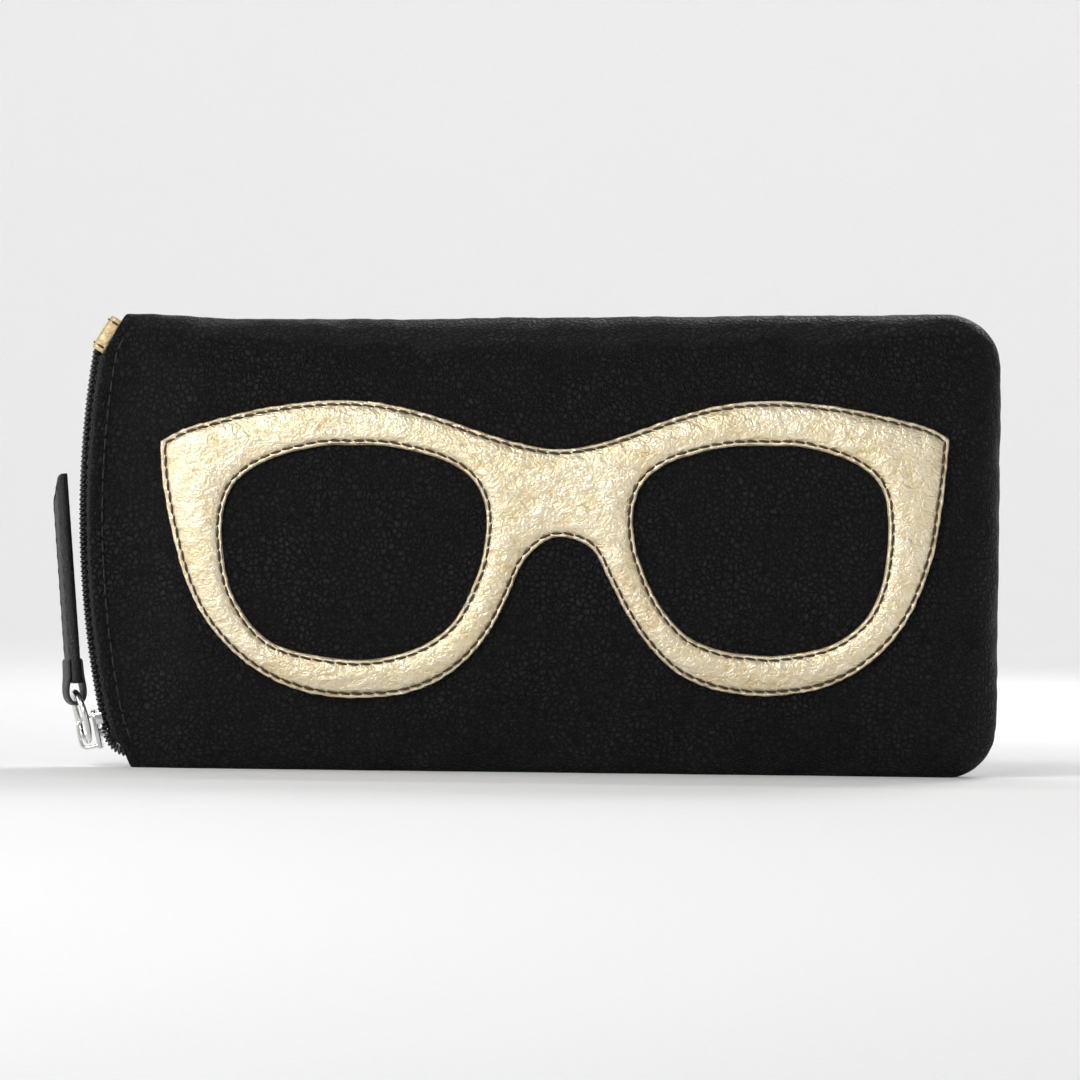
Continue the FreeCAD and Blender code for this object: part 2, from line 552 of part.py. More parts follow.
p_stops = [local_box(-HALF_WINDOW - 2.2, -HALF_WINDOW - 0.6, -2.0, 2.0, -1.3, -0.6, POCKET),
           local_box(HALF_WINDOW + 0.6, HALF_WINDOW + 2.2, -2.0, 2.0, -1.3, -0.6, POCKET)]
keep(shape_feature("pocket_zip_stops", Part.makeCompound(p_stops)), "pocket_zip_stops")

# ---------------------------------------------------------------- checks and output
doc.recompute()
bad = []
for obj in doc.Objects:
    if "Invalid" in obj.State or "Error" in obj.State:
        bad.append("%s: %s" % (obj.Name, obj.State))
labels = set()
for obj in NODES:
    if obj.Shape.isNull() or not obj.Shape.isValid() or not obj.Shape.Solids:
        bad.append("%s: shape" % obj.Label)
    if obj.Label in labels:
        bad.append("label used twice: " + obj.Label)
    labels.add(obj.Label)
if bad:
    raise SystemExit("not written: " + "; ".join(bad))

os.makedirs("parts", exist_ok=True)
for old in os.listdir("parts"):
    if old.endswith(".step"):
        os.remove(os.path.join("parts", old))
for obj in NODES:
    b = obj.Shape.BoundBox
    print("%-22s vol %9.1f  x %7.2f..%7.2f  y %7.2f..%7.2f  z %7.2f..%7.2f  solids %d" %
          (obj.Label, obj.Shape.Volume, b.XMin, b.XMax, b.YMin, b.YMax, b.ZMin, b.ZMax, len(obj.Shape.Solids)))
    obj.Shape.exportStep("parts/%s.step" % obj.Label)

deg = lambda v: [round(v.x, 5), round(v.y, 5), round(v.z, 5)]
print("arc centre", deg(ARC))
print("main ring pivot", deg(ring_low), "axis", deg(ring_axis))
print("main tab pivot", deg(ring_top), "axis", deg(ring_axis))
print("pocket u", deg(PU), "w", deg(PW), "n", deg(PN))
print("pocket ring pivot", deg(POCKET.multVec(ring_at)), "axis", deg(rot.multVec(p_side * -1)))
print("pocket tab pivot", deg(POCKET.multVec(tab_root)), "axis", deg(rot.multVec(V(0, -1, 0))))
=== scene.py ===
# Soft zipped eyeglass case: the looks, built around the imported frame. Lengths below are in mm unless said.
import bpy
import bmesh
import math
import numpy as np
from mathutils import Matrix, Vector, noise
from mathutils.bvhtree import BVHTree
from mathutils.geometry import delaunay_2d_cdt
from mathutils.kdtree import KDTree


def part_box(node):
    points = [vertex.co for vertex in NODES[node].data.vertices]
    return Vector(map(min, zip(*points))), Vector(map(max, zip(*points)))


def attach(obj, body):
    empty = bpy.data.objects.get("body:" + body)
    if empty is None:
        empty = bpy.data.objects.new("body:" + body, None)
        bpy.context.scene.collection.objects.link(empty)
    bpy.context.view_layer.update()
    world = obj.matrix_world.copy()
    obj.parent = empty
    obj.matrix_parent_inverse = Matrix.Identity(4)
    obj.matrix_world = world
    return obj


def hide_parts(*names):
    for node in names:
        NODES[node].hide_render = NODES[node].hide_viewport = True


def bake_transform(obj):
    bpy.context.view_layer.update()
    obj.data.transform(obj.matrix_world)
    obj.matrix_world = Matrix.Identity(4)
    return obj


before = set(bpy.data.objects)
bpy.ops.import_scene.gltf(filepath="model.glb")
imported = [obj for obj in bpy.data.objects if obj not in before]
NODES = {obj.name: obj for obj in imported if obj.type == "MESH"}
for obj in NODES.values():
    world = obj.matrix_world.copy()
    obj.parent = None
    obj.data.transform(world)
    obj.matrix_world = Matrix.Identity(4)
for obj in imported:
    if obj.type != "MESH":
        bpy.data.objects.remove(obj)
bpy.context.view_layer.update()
PI = math.pi

# ------------------------------------------------------------------ materials
NEAR_BLACK = (0.0090, 0.0090, 0.0094, 1)


class Nodes:
    """A small helper to wire shader nodes."""

    def __init__(self, name):
        self.m = bpy.data.materials.new(name)
        self.m.use_nodes = True
        self.t = self.m.node_tree
        self.t.nodes.clear()
        self.out = self.add("ShaderNodeOutputMaterial")
        self.bsdf = self.add("ShaderNodeBsdfPrincipled")
        self.t.links.new(self.bsdf.outputs[0], self.out.inputs["Surface"])
        self.coord = self.add("ShaderNodeTexCoord")

    def add(self, kind, **values):
        n = self.t.nodes.new(kind)
        for k, v in values.items():
            setattr(n, k, v)
        return n

    def link(self, a, b):
        self.t.links.new(a, b)

    def put(self, socket, value):
        if hasattr(value, "is_output"):
            self.link(value, socket)
        else:
            socket.default_value = value

    def math(self, op, a, b=0.0, c=None, clamp=False):
        n = self.add("ShaderNodeMath", operation=op, use_clamp=clamp)
        self.put(n.inputs[0], a)
        self.put(n.inputs[1], b)
        if c is not None:
            self.put(n.inputs[2], c)
        return n.outputs[0]

    def noise(self, scale, detail=3.0, rough=0.5, distortion=0.0, vector=None):
        n = self.add("ShaderNodeTexNoise")
        n.inputs["Scale"].default_value = scale
        n.inputs["Detail"].default_value = detail
        n.inputs["Roughness"].default_value = rough
        n.inputs["Distortion"].default_value = distortion
        self.link(vector if vector is not None else self.coord.outputs["Object"], n.inputs["Vector"])
        return n

    def voronoi(self, scale, feature="F1", vector=None, randomness=1.0):
        n = self.add("ShaderNodeTexVoronoi", feature=feature)
        n.inputs["Scale"].default_value = scale
        n.inputs["Randomness"].default_value = randomness
        self.link(vector if vector is not None else self.coord.outputs["Object"], n.inputs["Vector"])
        return n

    def warped(self, scale, amount):
        """Object coordinates pushed about by a noise, amount in metres."""
        n = self.noise(scale, 2.0)
        sub = self.add("ShaderNodeVectorMath", operation="SUBTRACT")
        self.link(n.outputs["Color"], sub.inputs[0])
        sub.inputs[1].default_value = (0.5, 0.5, 0.5)
        mul = self.add("ShaderNodeVectorMath", operation="SCALE")
        self.link(sub.outputs[0], mul.inputs[0])
        mul.inputs["Scale"].default_value = amount
        add = self.add("ShaderNodeVectorMath", operation="ADD")
        self.link(self.coord.outputs["Object"], add.inputs[0])
        self.link(mul.outputs[0], add.inputs[1])
        return add.outputs[0]

    def ramp(self, value, stops):
        n = self.add("ShaderNodeValToRGB")
        while len(n.color_ramp.elements) > 1:
            n.color_ramp.elements.remove(n.color_ramp.elements[-1])
        n.color_ramp.elements[0].position = stops[0][0]
        n.color_ramp.elements[0].color = stops[0][1]
        for p, c in stops[1:]:
            e = n.color_ramp.elements.new(p)
            e.color = c
        self.put(n.inputs["Fac"], value)
        return n.outputs["Color"]

    def remap(self, value, a, b, c, d):
        n = self.add("ShaderNodeMapRange")
        self.put(n.inputs["Value"], value)
        for k, v in zip(("From Min", "From Max", "To Min", "To Max"), (a, b, c, d)):
            n.inputs[k].default_value = v
        return n.outputs["Result"]

    def bump(self, height, distance, strength=1.0, normal=None):
        n = self.add("ShaderNodeBump")
        n.inputs["Strength"].default_value = strength
        n.inputs["Distance"].default_value = distance
        self.link(height, n.inputs["Height"])
        if normal is not None:
            self.link(normal, n.inputs["Normal"])
        return n.outputs["Normal"]

    def set(self, name, value):
        self.put(self.bsdf.inputs[name], value)


def black_leather(name, tint, pebble, depth, spec=0.3):
    """Pebbled black leather: plateaus parted by fine creases, size in mm, depth in m. The colour is painted shade in
    the creases and painted highlight on the plateau tops, mixed with random patches.
    """
    g = Nodes(name)
    w = g.warped(1000 / (pebble * 2.2), pebble * 0.00075)
    edge = g.voronoi(1000 / pebble, "DISTANCE_TO_EDGE", w).outputs["Distance"]
    edge2 = g.voronoi(1000 / (pebble * 0.55), "DISTANCE_TO_EDGE", w).outputs["Distance"]
    plate = g.math("POWER", g.remap(edge, 0.0, 0.46, 0.0, 1.0), 0.62)
    plate2 = g.math("POWER", g.remap(edge2, 0.0, 0.42, 0.0, 1.0), 0.7)
    patch = g.noise(95, 3.0, 0.55).outputs["Fac"]
    fine = g.noise(5200, 3.0, 0.6).outputs["Fac"]
    soft = g.remap(patch, 0.36, 0.66, 0.35, 1.0)
    h = g.math("MULTIPLY", plate, soft)
    h = g.math("MULTIPLY_ADD", plate2, 0.42, h)
    h = g.math("MULTIPLY_ADD", fine, 0.14, h)
    # painted shade in the creases (0.12 of the tint) and painted highlight on the plateau tops (2.6 times the tint)
    painted_shade_colour = tuple(c * 0.12 for c in tint[:3]) + (1,)
    pebble_highlight_colour = tuple(c * 2.6 for c in tint[:3]) + (1,)
    g.set("Base Color", g.ramp(g.math("MULTIPLY", plate, g.remap(patch, 0.34, 0.66, 0.55, 1.0)), [(0.0, painted_shade_colour), (0.5, tint), (1.0, pebble_highlight_colour)]))
    g.set("Roughness", g.remap(g.math("MULTIPLY_ADD", fine, 0.35, plate), 0.0, 1.35, 0.56, 0.33))
    g.bsdf.inputs["Specular IOR Level"].default_value = spec
    g.set("Normal", g.bump(h, depth, 0.85))
    return g.m


def gold_leather(name, painted_highlight_colour, mid, painted_shade_colour, metallic=0.62, rough=0.36, grain=1.0, depth=0.00022):
    """Foiled leather: crinkles at the scale of a millimetre, with painted highlight on the crinkle tops and painted
    shade in the hollows and creases.
    """
    g = Nodes(name)
    w = g.warped(420, 0.0016 * grain)
    crease = g.voronoi(760 / grain, "DISTANCE_TO_EDGE", w).outputs["Distance"]
    crease2 = g.voronoi(1700 / grain, "DISTANCE_TO_EDGE", w).outputs["Distance"]
    crinkle = g.noise(560 / grain, 3.5, 0.5, 0.35).outputs["Fac"]
    fine = g.noise(4200, 3.0, 0.6).outputs["Fac"]
    c1 = g.remap(crease, 0.0, 0.2, 0.0, 1.0)
    c2 = g.remap(crease2, 0.0, 0.22, 0.0, 1.0)
    lean = g.add("ShaderNodeMapping")
    lean.inputs["Scale"].default_value = (1.0, 1.0, 1.9)
    lean.inputs["Rotation"].default_value = (0.0, 0.5, 0.0)
    g.link(w, lean.inputs["Vector"])
    long = g.noise(330 / grain, 3.5, 0.52, 0.7, lean.outputs[0]).outputs["Fac"]
    h = g.math("MULTIPLY_ADD", crinkle, 0.75, g.math("MULTIPLY", c1, 0.14))
    h = g.math("MULTIPLY_ADD", long, 1.7, h)
    h = g.math("MULTIPLY_ADD", c2, 0.10, h)
    h = g.math("MULTIPLY_ADD", fine, 0.05, h)
    broad = g.noise(75, 3.0, 0.5).outputs["Fac"]
    # painted highlight and shade: the tone rises with the crinkle height and away from the creases, so raised crinkles
    # take the highlight colour and hollows take the shade colour; the broad noise adds random tone
    tone = g.math("MULTIPLY_ADD", c1, 0.05, g.remap(g.math("ADD", crinkle, long), 0.74, 1.26, 0.05, 0.62))
    tone = g.math("MULTIPLY_ADD", g.remap(broad, 0.3, 0.7, 0.0, 1.0), 0.35, tone)
    g.set("Base Color", g.ramp(tone, [(0.0, painted_shade_colour), (0.34, mid), (1.0, painted_highlight_colour)]))
    g.set("Metallic", metallic)
    g.set("Roughness", g.remap(crinkle, 0.3, 0.7, rough + 0.1, rough - 0.05))
    g.set("Normal", g.bump(h, depth, 0.8))
    return g.m


def metal(name, base, rough):
    g = Nodes(name)
    stretch = g.add("ShaderNodeMapping")
    stretch.inputs["Scale"].default_value = (1, 9, 1)
    g.link(g.coord.outputs["Object"], stretch.inputs["Vector"])
    scratch = g.noise(2600, 4.0, 0.65, 0.0, stretch.outputs[0]).outputs["Fac"]
    smear = g.noise(260, 3.0, 0.5).outputs["Fac"]
    g.set("Base Color", g.ramp(smear, [(0.2, tuple(c * 0.86 for c in base[:3]) + (1,)), (0.7, base)]))
    g.set("Metallic", 1.0)
    g.set("Roughness", g.remap(g.math("ADD", scratch, smear), 0.6, 1.4, rough - 0.05, rough + 0.09))
    g.set("Normal", g.bump(scratch, 0.00001, 0.35))
    return g.m


def woven(name, tint, pitch, depth=0.00012, rough=0.8):
    """A woven ribbon: the piece's own 'weave' attribute holds across and along, in mm."""
    g = Nodes(name)
    a = g.add("ShaderNodeAttribute", attribute_name="weave")
    sep = g.add("ShaderNodeSeparateXYZ")
    g.link(a.outputs["Vector"], sep.inputs[0])
    across, along = sep.outputs[0], sep.outputs[1]
    zig = g.math("PINGPONG", across, 0.85)
    warp = g.math("SINE", g.math("MULTIPLY", g.math("ADD", along, zig), 2 * PI / pitch))
    weft = g.math("SINE", g.math("MULTIPLY", across, 2 * PI / (pitch * 0.8)))
    h = g.math("MULTIPLY_ADD", weft, 0.35, warp)
    fibre = g.noise(6000, 2.0).outputs["Fac"]
    h2 = g.math("MULTIPLY_ADD", fibre, 0.6, h)
    # painted shade: the low parts of the weave darken to about a third of the tint, following the bump height
    g.set("Base Color", g.ramp(g.remap(h2, -1.2, 1.6, 0.0, 1.0), [(0.0, tuple(c * 0.35 for c in tint[:3]) + (1,)), (1.0, tint)]))
    g.set("Roughness", rough)
    g.set("Normal", g.bump(h2, depth, 0.8))
    return g.m


def cloth(name, tint, pitch=0.5, depth=0.0001, sheen=0.25):
    """Plain lining cloth, two crossed thread directions in object coordinates."""
    g = Nodes(name)
    sep = g.add("ShaderNodeSeparateXYZ")
    g.link(g.coord.outputs["Object"], sep.inputs[0])
    k = 2 * PI / (pitch * 0.001)
    a = g.math("SINE", g.math("MULTIPLY", g.math("ADD", sep.outputs[0], sep.outputs[2]), k))
    b = g.math("SINE", g.math("MULTIPLY", g.math("SUBTRACT", sep.outputs[0], sep.outputs[2]), k))
    h = g.math("MAXIMUM", a, b)
    slub = g.noise(1400, 3.0).outputs["Fac"]
    h2 = g.math("MULTIPLY_ADD", slub, 0.9, h)
    # painted shade: the low parts between threads darken to half the tint, following the bump height
    g.set("Base Color", g.ramp(g.remap(h2, -0.6, 1.9, 0.0, 1.0), [(0.0, tuple(c * 0.5 for c in tint[:3]) + (1,)), (1.0, tint)]))
    g.set("Roughness", 0.85)
    g.bsdf.inputs["Sheen Weight"].default_value = sheen
    g.set("Normal", g.bump(h2, depth, 0.7))
    return g.m


def thread(name, tint, rough=0.55):
    g = Nodes(name)
    n = g.noise(5200, 2.0, 0.5).outputs["Fac"]
    v = g.voronoi(3600).outputs["Distance"]
    g.set("Base Color", g.ramp(n, [(0.25, tuple(c * 0.55 for c in tint[:3]) + (1,)), (0.75, tint)]))
    g.set("Roughness", rough)
    g.set("Normal", g.bump(g.math("ADD", n, v), 0.00008, 0.7))
    return g.m


def nylon(name, tint, rough=0.36):
    g = Nodes(name)
    n = g.noise(3800, 2.0).outputs["Fac"]
    g.set("Base Color", g.ramp(n, [(0.2, tuple(c * 0.6 for c in tint[:3]) + (1,)), (0.8, tint)]))
    g.set("Roughness", g.remap(n, 0.3, 0.7, rough - 0.06, rough + 0.1))
    g.set("Normal", g.bump(n, 0.00002, 0.5))
    return g.m


def open_foam(name):
    g = Nodes(name)
    v = g.voronoi(1500, "F1").outputs["Distance"]
    n = g.noise(900, 4.0).outputs["Fac"]
    # painted shade: the pores, low in the bump near the cell points, are darker
    g.set("Base Color", g.ramp(v, [(0.0, (0.16, 0.16, 0.165, 1)), (0.6, (0.4, 0.4, 0.41, 1))]))
    g.set("Roughness", 0.95)
    g.set("Normal", g.bump(g.math("ADD", v, n), 0.0004, 0.8))
    return g.m


M = {
    "front": black_leather("leather_front", NEAR_BLACK, 1.15, 0.00056, 0.11),
    "back": black_leather("leather_back", (0.0118, 0.0125, 0.0170, 1), 1.6, 0.00064, 0.17),
    "strap": black_leather("leather_strap", (0.007, 0.007, 0.0075, 1), 0.9, 0.00012, 0.5),
    # gold colours below: painted highlight, mid tone and painted shade, laid on by the crinkle height
    "gold": gold_leather("gold_foil", (0.96, 0.875, 0.67, 1), (0.86, 0.72, 0.46, 1), (0.60, 0.42, 0.20, 1), 0.62, 0.37, 1.15, 0.0005),
    "pull_gold": gold_leather("gold_pull", (0.62, 0.56, 0.33, 1), (0.50, 0.445, 0.24, 1), (0.36, 0.31, 0.15, 1), 0.5, 0.4, 0.75, 0.0003),
    # a darker copy of the gold foil for the end tab: painted shade standing for the tab lying in shadow
    "tab_gold_painted_shade": gold_leather("gold_end_tab_painted_shade", (0.72, 0.58, 0.33, 1), (0.56, 0.42, 0.20, 1), (0.40, 0.27, 0.11, 1), 0.6, 0.4, 0.8, 0.0003),
    "nickel": metal("nickel_polished", (0.80, 0.79, 0.775, 1), 0.15),
    "stop": metal("nickel_stop", (0.42, 0.41, 0.40, 1), 0.3),
    "tape": woven("zip_weave", (0.016, 0.016, 0.018, 1), 0.9),
    "coil": nylon("zip_nylon", (0.022, 0.022, 0.024, 1)),
    "lining": cloth("lining_cloth", (0.030, 0.030, 0.034, 1)),
    "bag": cloth("bag_cloth", (0.020, 0.020, 0.023, 1), 0.42),
    "divider": cloth("divider_cloth", (0.034, 0.033, 0.036, 1), 0.6, 0.00012),
    "foam": open_foam("foam_grey"),
    "brown": thread("thread_brown", (0.060, 0.036, 0.012, 1)),
    "cream": thread("thread_cream", (0.80, 0.74, 0.52, 1)),
    "black_thread": thread("thread_black", (0.010, 0.010, 0.012, 1), 0.55),
}

# ------------------------------------------------------------------ mesh helpers
MADE = {}


def piece(name, verts, faces, mat, smooth=True, normals=True):
    """A mesh object from points in mm."""
    me = bpy.data.meshes.new(name)
    me.from_pydata((np.asarray(verts, float) * 0.001).tolist(), [], faces)
    me.update()
    if normals:
        bm = bmesh.new()
        bm.from_mesh(me)
        bmesh.ops.recalc_face_normals(bm, faces=bm.faces)
        bm.to_mesh(me)
        bm.free()
    me.materials.append(mat)
    for p in me.polygons:
        p.use_smooth = smooth
    o = bpy.data.objects.new(name, me)
    bpy.context.scene.collection.objects.link(o)
    MADE[name] = o
    return o


def set_weave(o, values):
    a = o.data.attributes.new("weave", "FLOAT_VECTOR", "POINT")
    a.data.foreach_set("vector", np.asarray(values, np.float32).ravel())


def finish(o, body, nodes=()):
    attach(o, body)
    if nodes:
        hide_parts(*nodes)
    return o


def smooth(t):
    t = np.clip(t, 0, 1)
    return t * t * (3 - 2 * t)


def tube_into(V, F, pts, radii, n=6, flat=1.0, side=None):
    """Adds a closed tube along pts. flat squeezes the section along 'side'."""
    pts = [Vector(p) for p in pts]
    base = len(V)
    k = len(pts)
    ref = None
    for i, p in enumerate(pts):
        t = (pts[min(i + 1, k - 1)] - pts[max(i - 1, 0)])
        t = t.normalized() if t.length > 1e-9 else Vector((0, 0, 1))
        if side is not None:
            a = Vector(side) - t * Vector(side).dot(t)
        elif ref is None:
            a = Vector((0, 0, 1)).cross(t)
            if a.length < 0.2:
                a = Vector((0, 1, 0)).cross(t)
        else:
            a = ref - t * ref.dot(t)
        a.normalize()
        ref = a
        b = t.cross(a)
        r = radii[i] if hasattr(radii, "__len__") else radii
        for j in range(n):
            q = 2 * PI * j / n
            V.append(tuple(p + a * (r * flat * math.cos(q)) + b * (r * math.sin(q))))
    for i in range(k - 1):
        for j in range(n):
            F.append((base + i * n + j, base + i * n + (j + 1) % n, base + (i + 1) * n + (j + 1) % n, base + (i + 1) * n + j))
    F.append(tuple(base + j for j in reversed(range(n))))
    F.append(tuple(base + (k - 1) * n + j for j in range(n)))


def chaikin(pts, rounds=2, closed=True):
    for _ in range(rounds):
        out = []
        m = len(pts)
        for i in range(m if closed else m - 1):
            a, b = pts[i], pts[(i + 1) % m]
            out.append(tuple(a[k] * 0.75 + b[k] * 0.25 for k in range(len(a))))
            out.append(tuple(a[k] * 0.25 + b[k] * 0.75 for k in range(len(a))))
        if not closed:
            out = [pts[0]] + out + [pts[-1]]
        pts = out
    return pts


def prism_into(V, F, outline, z0, z1, r, X, crown=0.0):
    """A plate with rounded rims from a 2-D outline, placed by the 4x4 matrix X."""
    pts = [Vector((p[0], p[1])) for p in outline]
    if sum(pts[i].x * pts[(i + 1) % len(pts)].y - pts[(i + 1) % len(pts)].x * pts[i].y for i in range(len(pts))) < 0:
        pts.reverse()
    m = len(pts)
    nrm = []
    for i in range(m):
        e = (pts[(i + 1) % m] - pts[i - 1]).normalized()
        nrm.append(Vector((e.y, -e.x)))
    centre = sum(pts, Vector((0, 0))) / m
    base = len(V)
    loops = []
    for s in range(5):
        q = PI / 2 * s / 4
        loops.append((r * (1 - math.sin(q)), z0 + r * (1 - math.cos(q))))
    for s in range(5):
        q = PI / 2 * s / 4
        loops.append((r * (1 - math.cos(q)), z1 - r * (1 - math.sin(q))))
    loops += [(r + 0.35, z1 + crown * 0.5)] if crown else []
    for inset, z in loops:
        for p, nn in zip(pts, nrm):
            c = p - nn * inset
            V.append(tuple(X @ Vector((c.x, c.y, z))))
    for k in range(len(loops) - 1):
        for i in range(m):
            F.append((base + k * m + i, base + k * m + (i + 1) % m, base + (k + 1) * m + (i + 1) % m, base + (k + 1) * m + i))
    c0 = len(V)
    V.append(tuple(X @ Vector((centre.x, centre.y, z0))))
    V.append(tuple(X @ Vector((centre.x, centre.y, z1 + crown))))
    last = base + (len(loops) - 1) * m
    for i in range(m):
        F.append((c0, base + (i + 1) % m, base + i))
        F.append((c0 + 1, last + i, last + (i + 1) % m))


def revolve_into(V, F, profile, X, n=40):
    """A turned shape about local z; the profile's first and last points lie on the axis."""
    base = len(V)
    V.append(tuple(X @ Vector((0, 0, profile[0][1]))))
    for r, z in profile[1:-1]:
        for j in range(n):
            q = 2 * PI * j / n
            V.append(tuple(X @ Vector((r * math.cos(q), r * math.sin(q), z))))
    V.append(tuple(X @ Vector((0, 0, profile[-1][1]))))
    rows = len(profile) - 2
    for j in range(n):
        F.append((base, base + 1 + (j + 1) % n, base + 1 + j))
        F.append((base + 1 + rows * n, base + 1 + (rows - 1) * n + j, base + 1 + (rows - 1) * n + (j + 1) % n))
    for i in range(rows - 1):
        for j in range(n):
            F.append((base + 1 + i * n + j, base + 1 + i * n + (j + 1) % n, base + 1 + (i + 1) * n + (j + 1) % n, base + 1 + (i + 1) * n + j))


def placing(origin, x, y, z):
    return Matrix(((x[0], y[0], z[0], origin[0]), (x[1], y[1], z[1], origin[1]), (x[2], y[2], z[2], origin[2]), (0, 0, 0, 1)))


# ------------------------------------------------------------------ the case's own surface
POW = 2.6
TOP_EDGE = [(-96, 90.0), (-84.9, 90.0), (-59.6, 89.2), (-31.4, 89.5), (-3.2, 90.2), (24.9, 90.7), (53.1, 91.3), (78.5, 91.7), (90, 91.7)]
HALF_THICK = [(-96, 6.3), (-88, 6.5), (-66, 12.0), (-44, 12.9), (-5, 13.1), (30, 13.0), (60, 12.5), (90, 12.3)]
FRONT_FOAM = [(-96, 0.25), (-86, 0.25), (-72, 2.7), (90, 2.7)]
BACK_FOAM = [(-96, 0.25), (-86, 0.25), (-64, 6.5), (90, 6.5)]
SIN82 = math.sin(math.radians(82))


def table(tab, x):
    xs = np.array([p[0] for p in tab], float)
    ys = np.array([p[1] for p in tab], float)
    x = np.asarray(x, float)
    i = np.clip(np.searchsorted(xs, x) - 1, 0, len(xs) - 2)
    return ys[i] + (ys[i + 1] - ys[i]) * smooth((x - xs[i]) / (xs[i + 1] - xs[i]))


def last_x(d):
    r = np.maximum(11 - d, 4)
    return 89.6 - d - r + r * SIN82


def squeeze(x, d):
    """x at depth d for a point whose x on the outer skin is x."""
    return np.where(x > 62, 62 + (x - 62) * (last_x(d) - 62) / (last_x(0.0) - 62), x)


def section(x, d):
    d = np.asarray(d, float)
    r = np.maximum(11 - d, 4)
    xc = 89.6 - d - r
    dx = np.clip(x - xc, 0, r * SIN82)
    m = r - np.sqrt(r * r - dx * dx)
    low = -0.35 + d + m
    high = table(TOP_EDGE, x) - d - m
    t = table(HALF_THICK, x) - d
    q = np.clip((x - 62) / (last_x(d) - 62), 0, 1)
    t = t * np.power(np.clip(1 - np.power(q, POW), 0, 1), 1 / POW)
    return low, high, np.maximum(t, 0)


def P(x, phi, d, side):
    xs = squeeze(x, d)
    low, high, t = section(xs, d)
    mid, half = (low + high) / 2, (high - low) / 2
    c, s = np.cos(phi), np.clip(np.sin(phi), 0, 1)
    z = mid - half * np.sign(c) * np.abs(c) ** (2 / POW)
    y = side * t * s ** (2 / POW)
    return np.stack([xs, y, z], -1)


def phi_of(x, z):
    low, high, _ = section(x, 0.0)
    k = np.clip((z - (low + high) / 2) / ((high - low) / 2), -0.9995, 0.9995)
    return np.arccos(-np.sign(k) * np.abs(k) ** 1.3)


def mouth_x(z):
    r = 197.5 - np.where(z < 10, np.minimum((10 - z) * 0.13, 3.4), 0) - np.where(z > 82, np.minimum((z - 82) * 0.32, 3.4), 0)
    return 107 - np.sqrt(r * r - (z - 52) ** 2)


LIP = 0.62
U_RIGHT = 0.82


def u_of(x, z):
    xl = mouth_x(z) + LIP
    left = U_RIGHT * (x - xl) / (62 - xl)
    q = np.clip((x - 62) / (last_x(0.0) - 62), 0, 1)
    right = U_RIGHT + (1 - U_RIGHT) * np.arcsin(np.clip(q ** (POW / 2), 0, 1)) / (PI / 2)
    return np.where(x <= 62, left, right)


def lattice(frac, tail, rows, side):
    """x and phi for every column and row. frac: shares from the mouth to x=62; tail: x beyond 62; rows(x) gives phi."""
    nu, nv = len(frac) + len(tail), len(rows(np.array([0.0]))[0])
    x = np.zeros((nu, nv))
    x[:] = -90.0
    n = len(frac)
    x[n:] = np.array(tail)[:, None]
    f = np.array([a if not isinstance(a, tuple) else 0 for a in frac])[:, None]
    for _ in range(5):
        phi = rows(x)
        z = P(x, phi, 0.0, side)[..., 2]
        xl = mouth_x(z) + LIP
        x[:n] = xl[:n] + (62 - xl[:n]) * f
        for i, a in enumerate(frac):
            if isinstance(a, tuple):          # (share, x): between the mouth and a fixed x
                x[i] = xl[i] + (a[1] - xl[i]) * a[0]
    return x, rows(x)


# ------------------------------------------------------------------ cloth simulation of the padded skin
SIM_U = np.concatenate([np.linspace(0, U_RIGHT, 38), U_RIGHT + (1 - U_RIGHT) * np.linspace(0, 1, 9)[1:]])
SIM_PHI = np.linspace(0, PI, 27)


def sim_points(side, k=1.0):
    f = SIM_U / U_RIGHT
    tail = 62 + (last_x(0.0) - 62) * np.sin((SIM_U[SIM_U > U_RIGHT + 1e-9] - U_RIGHT) / (1 - U_RIGHT) * PI / 2) ** (2 / POW)
    x, phi = lattice(list(f[SIM_U <= U_RIGHT + 1e-9]), list(tail), lambda a: np.broadcast_to(SIM_PHI, a.shape[:1] + (27,)) if a.ndim > 1 else SIM_PHI[None], side)
    p = P(x, phi, 0.0, side)
    p[..., 1] *= k
    return p


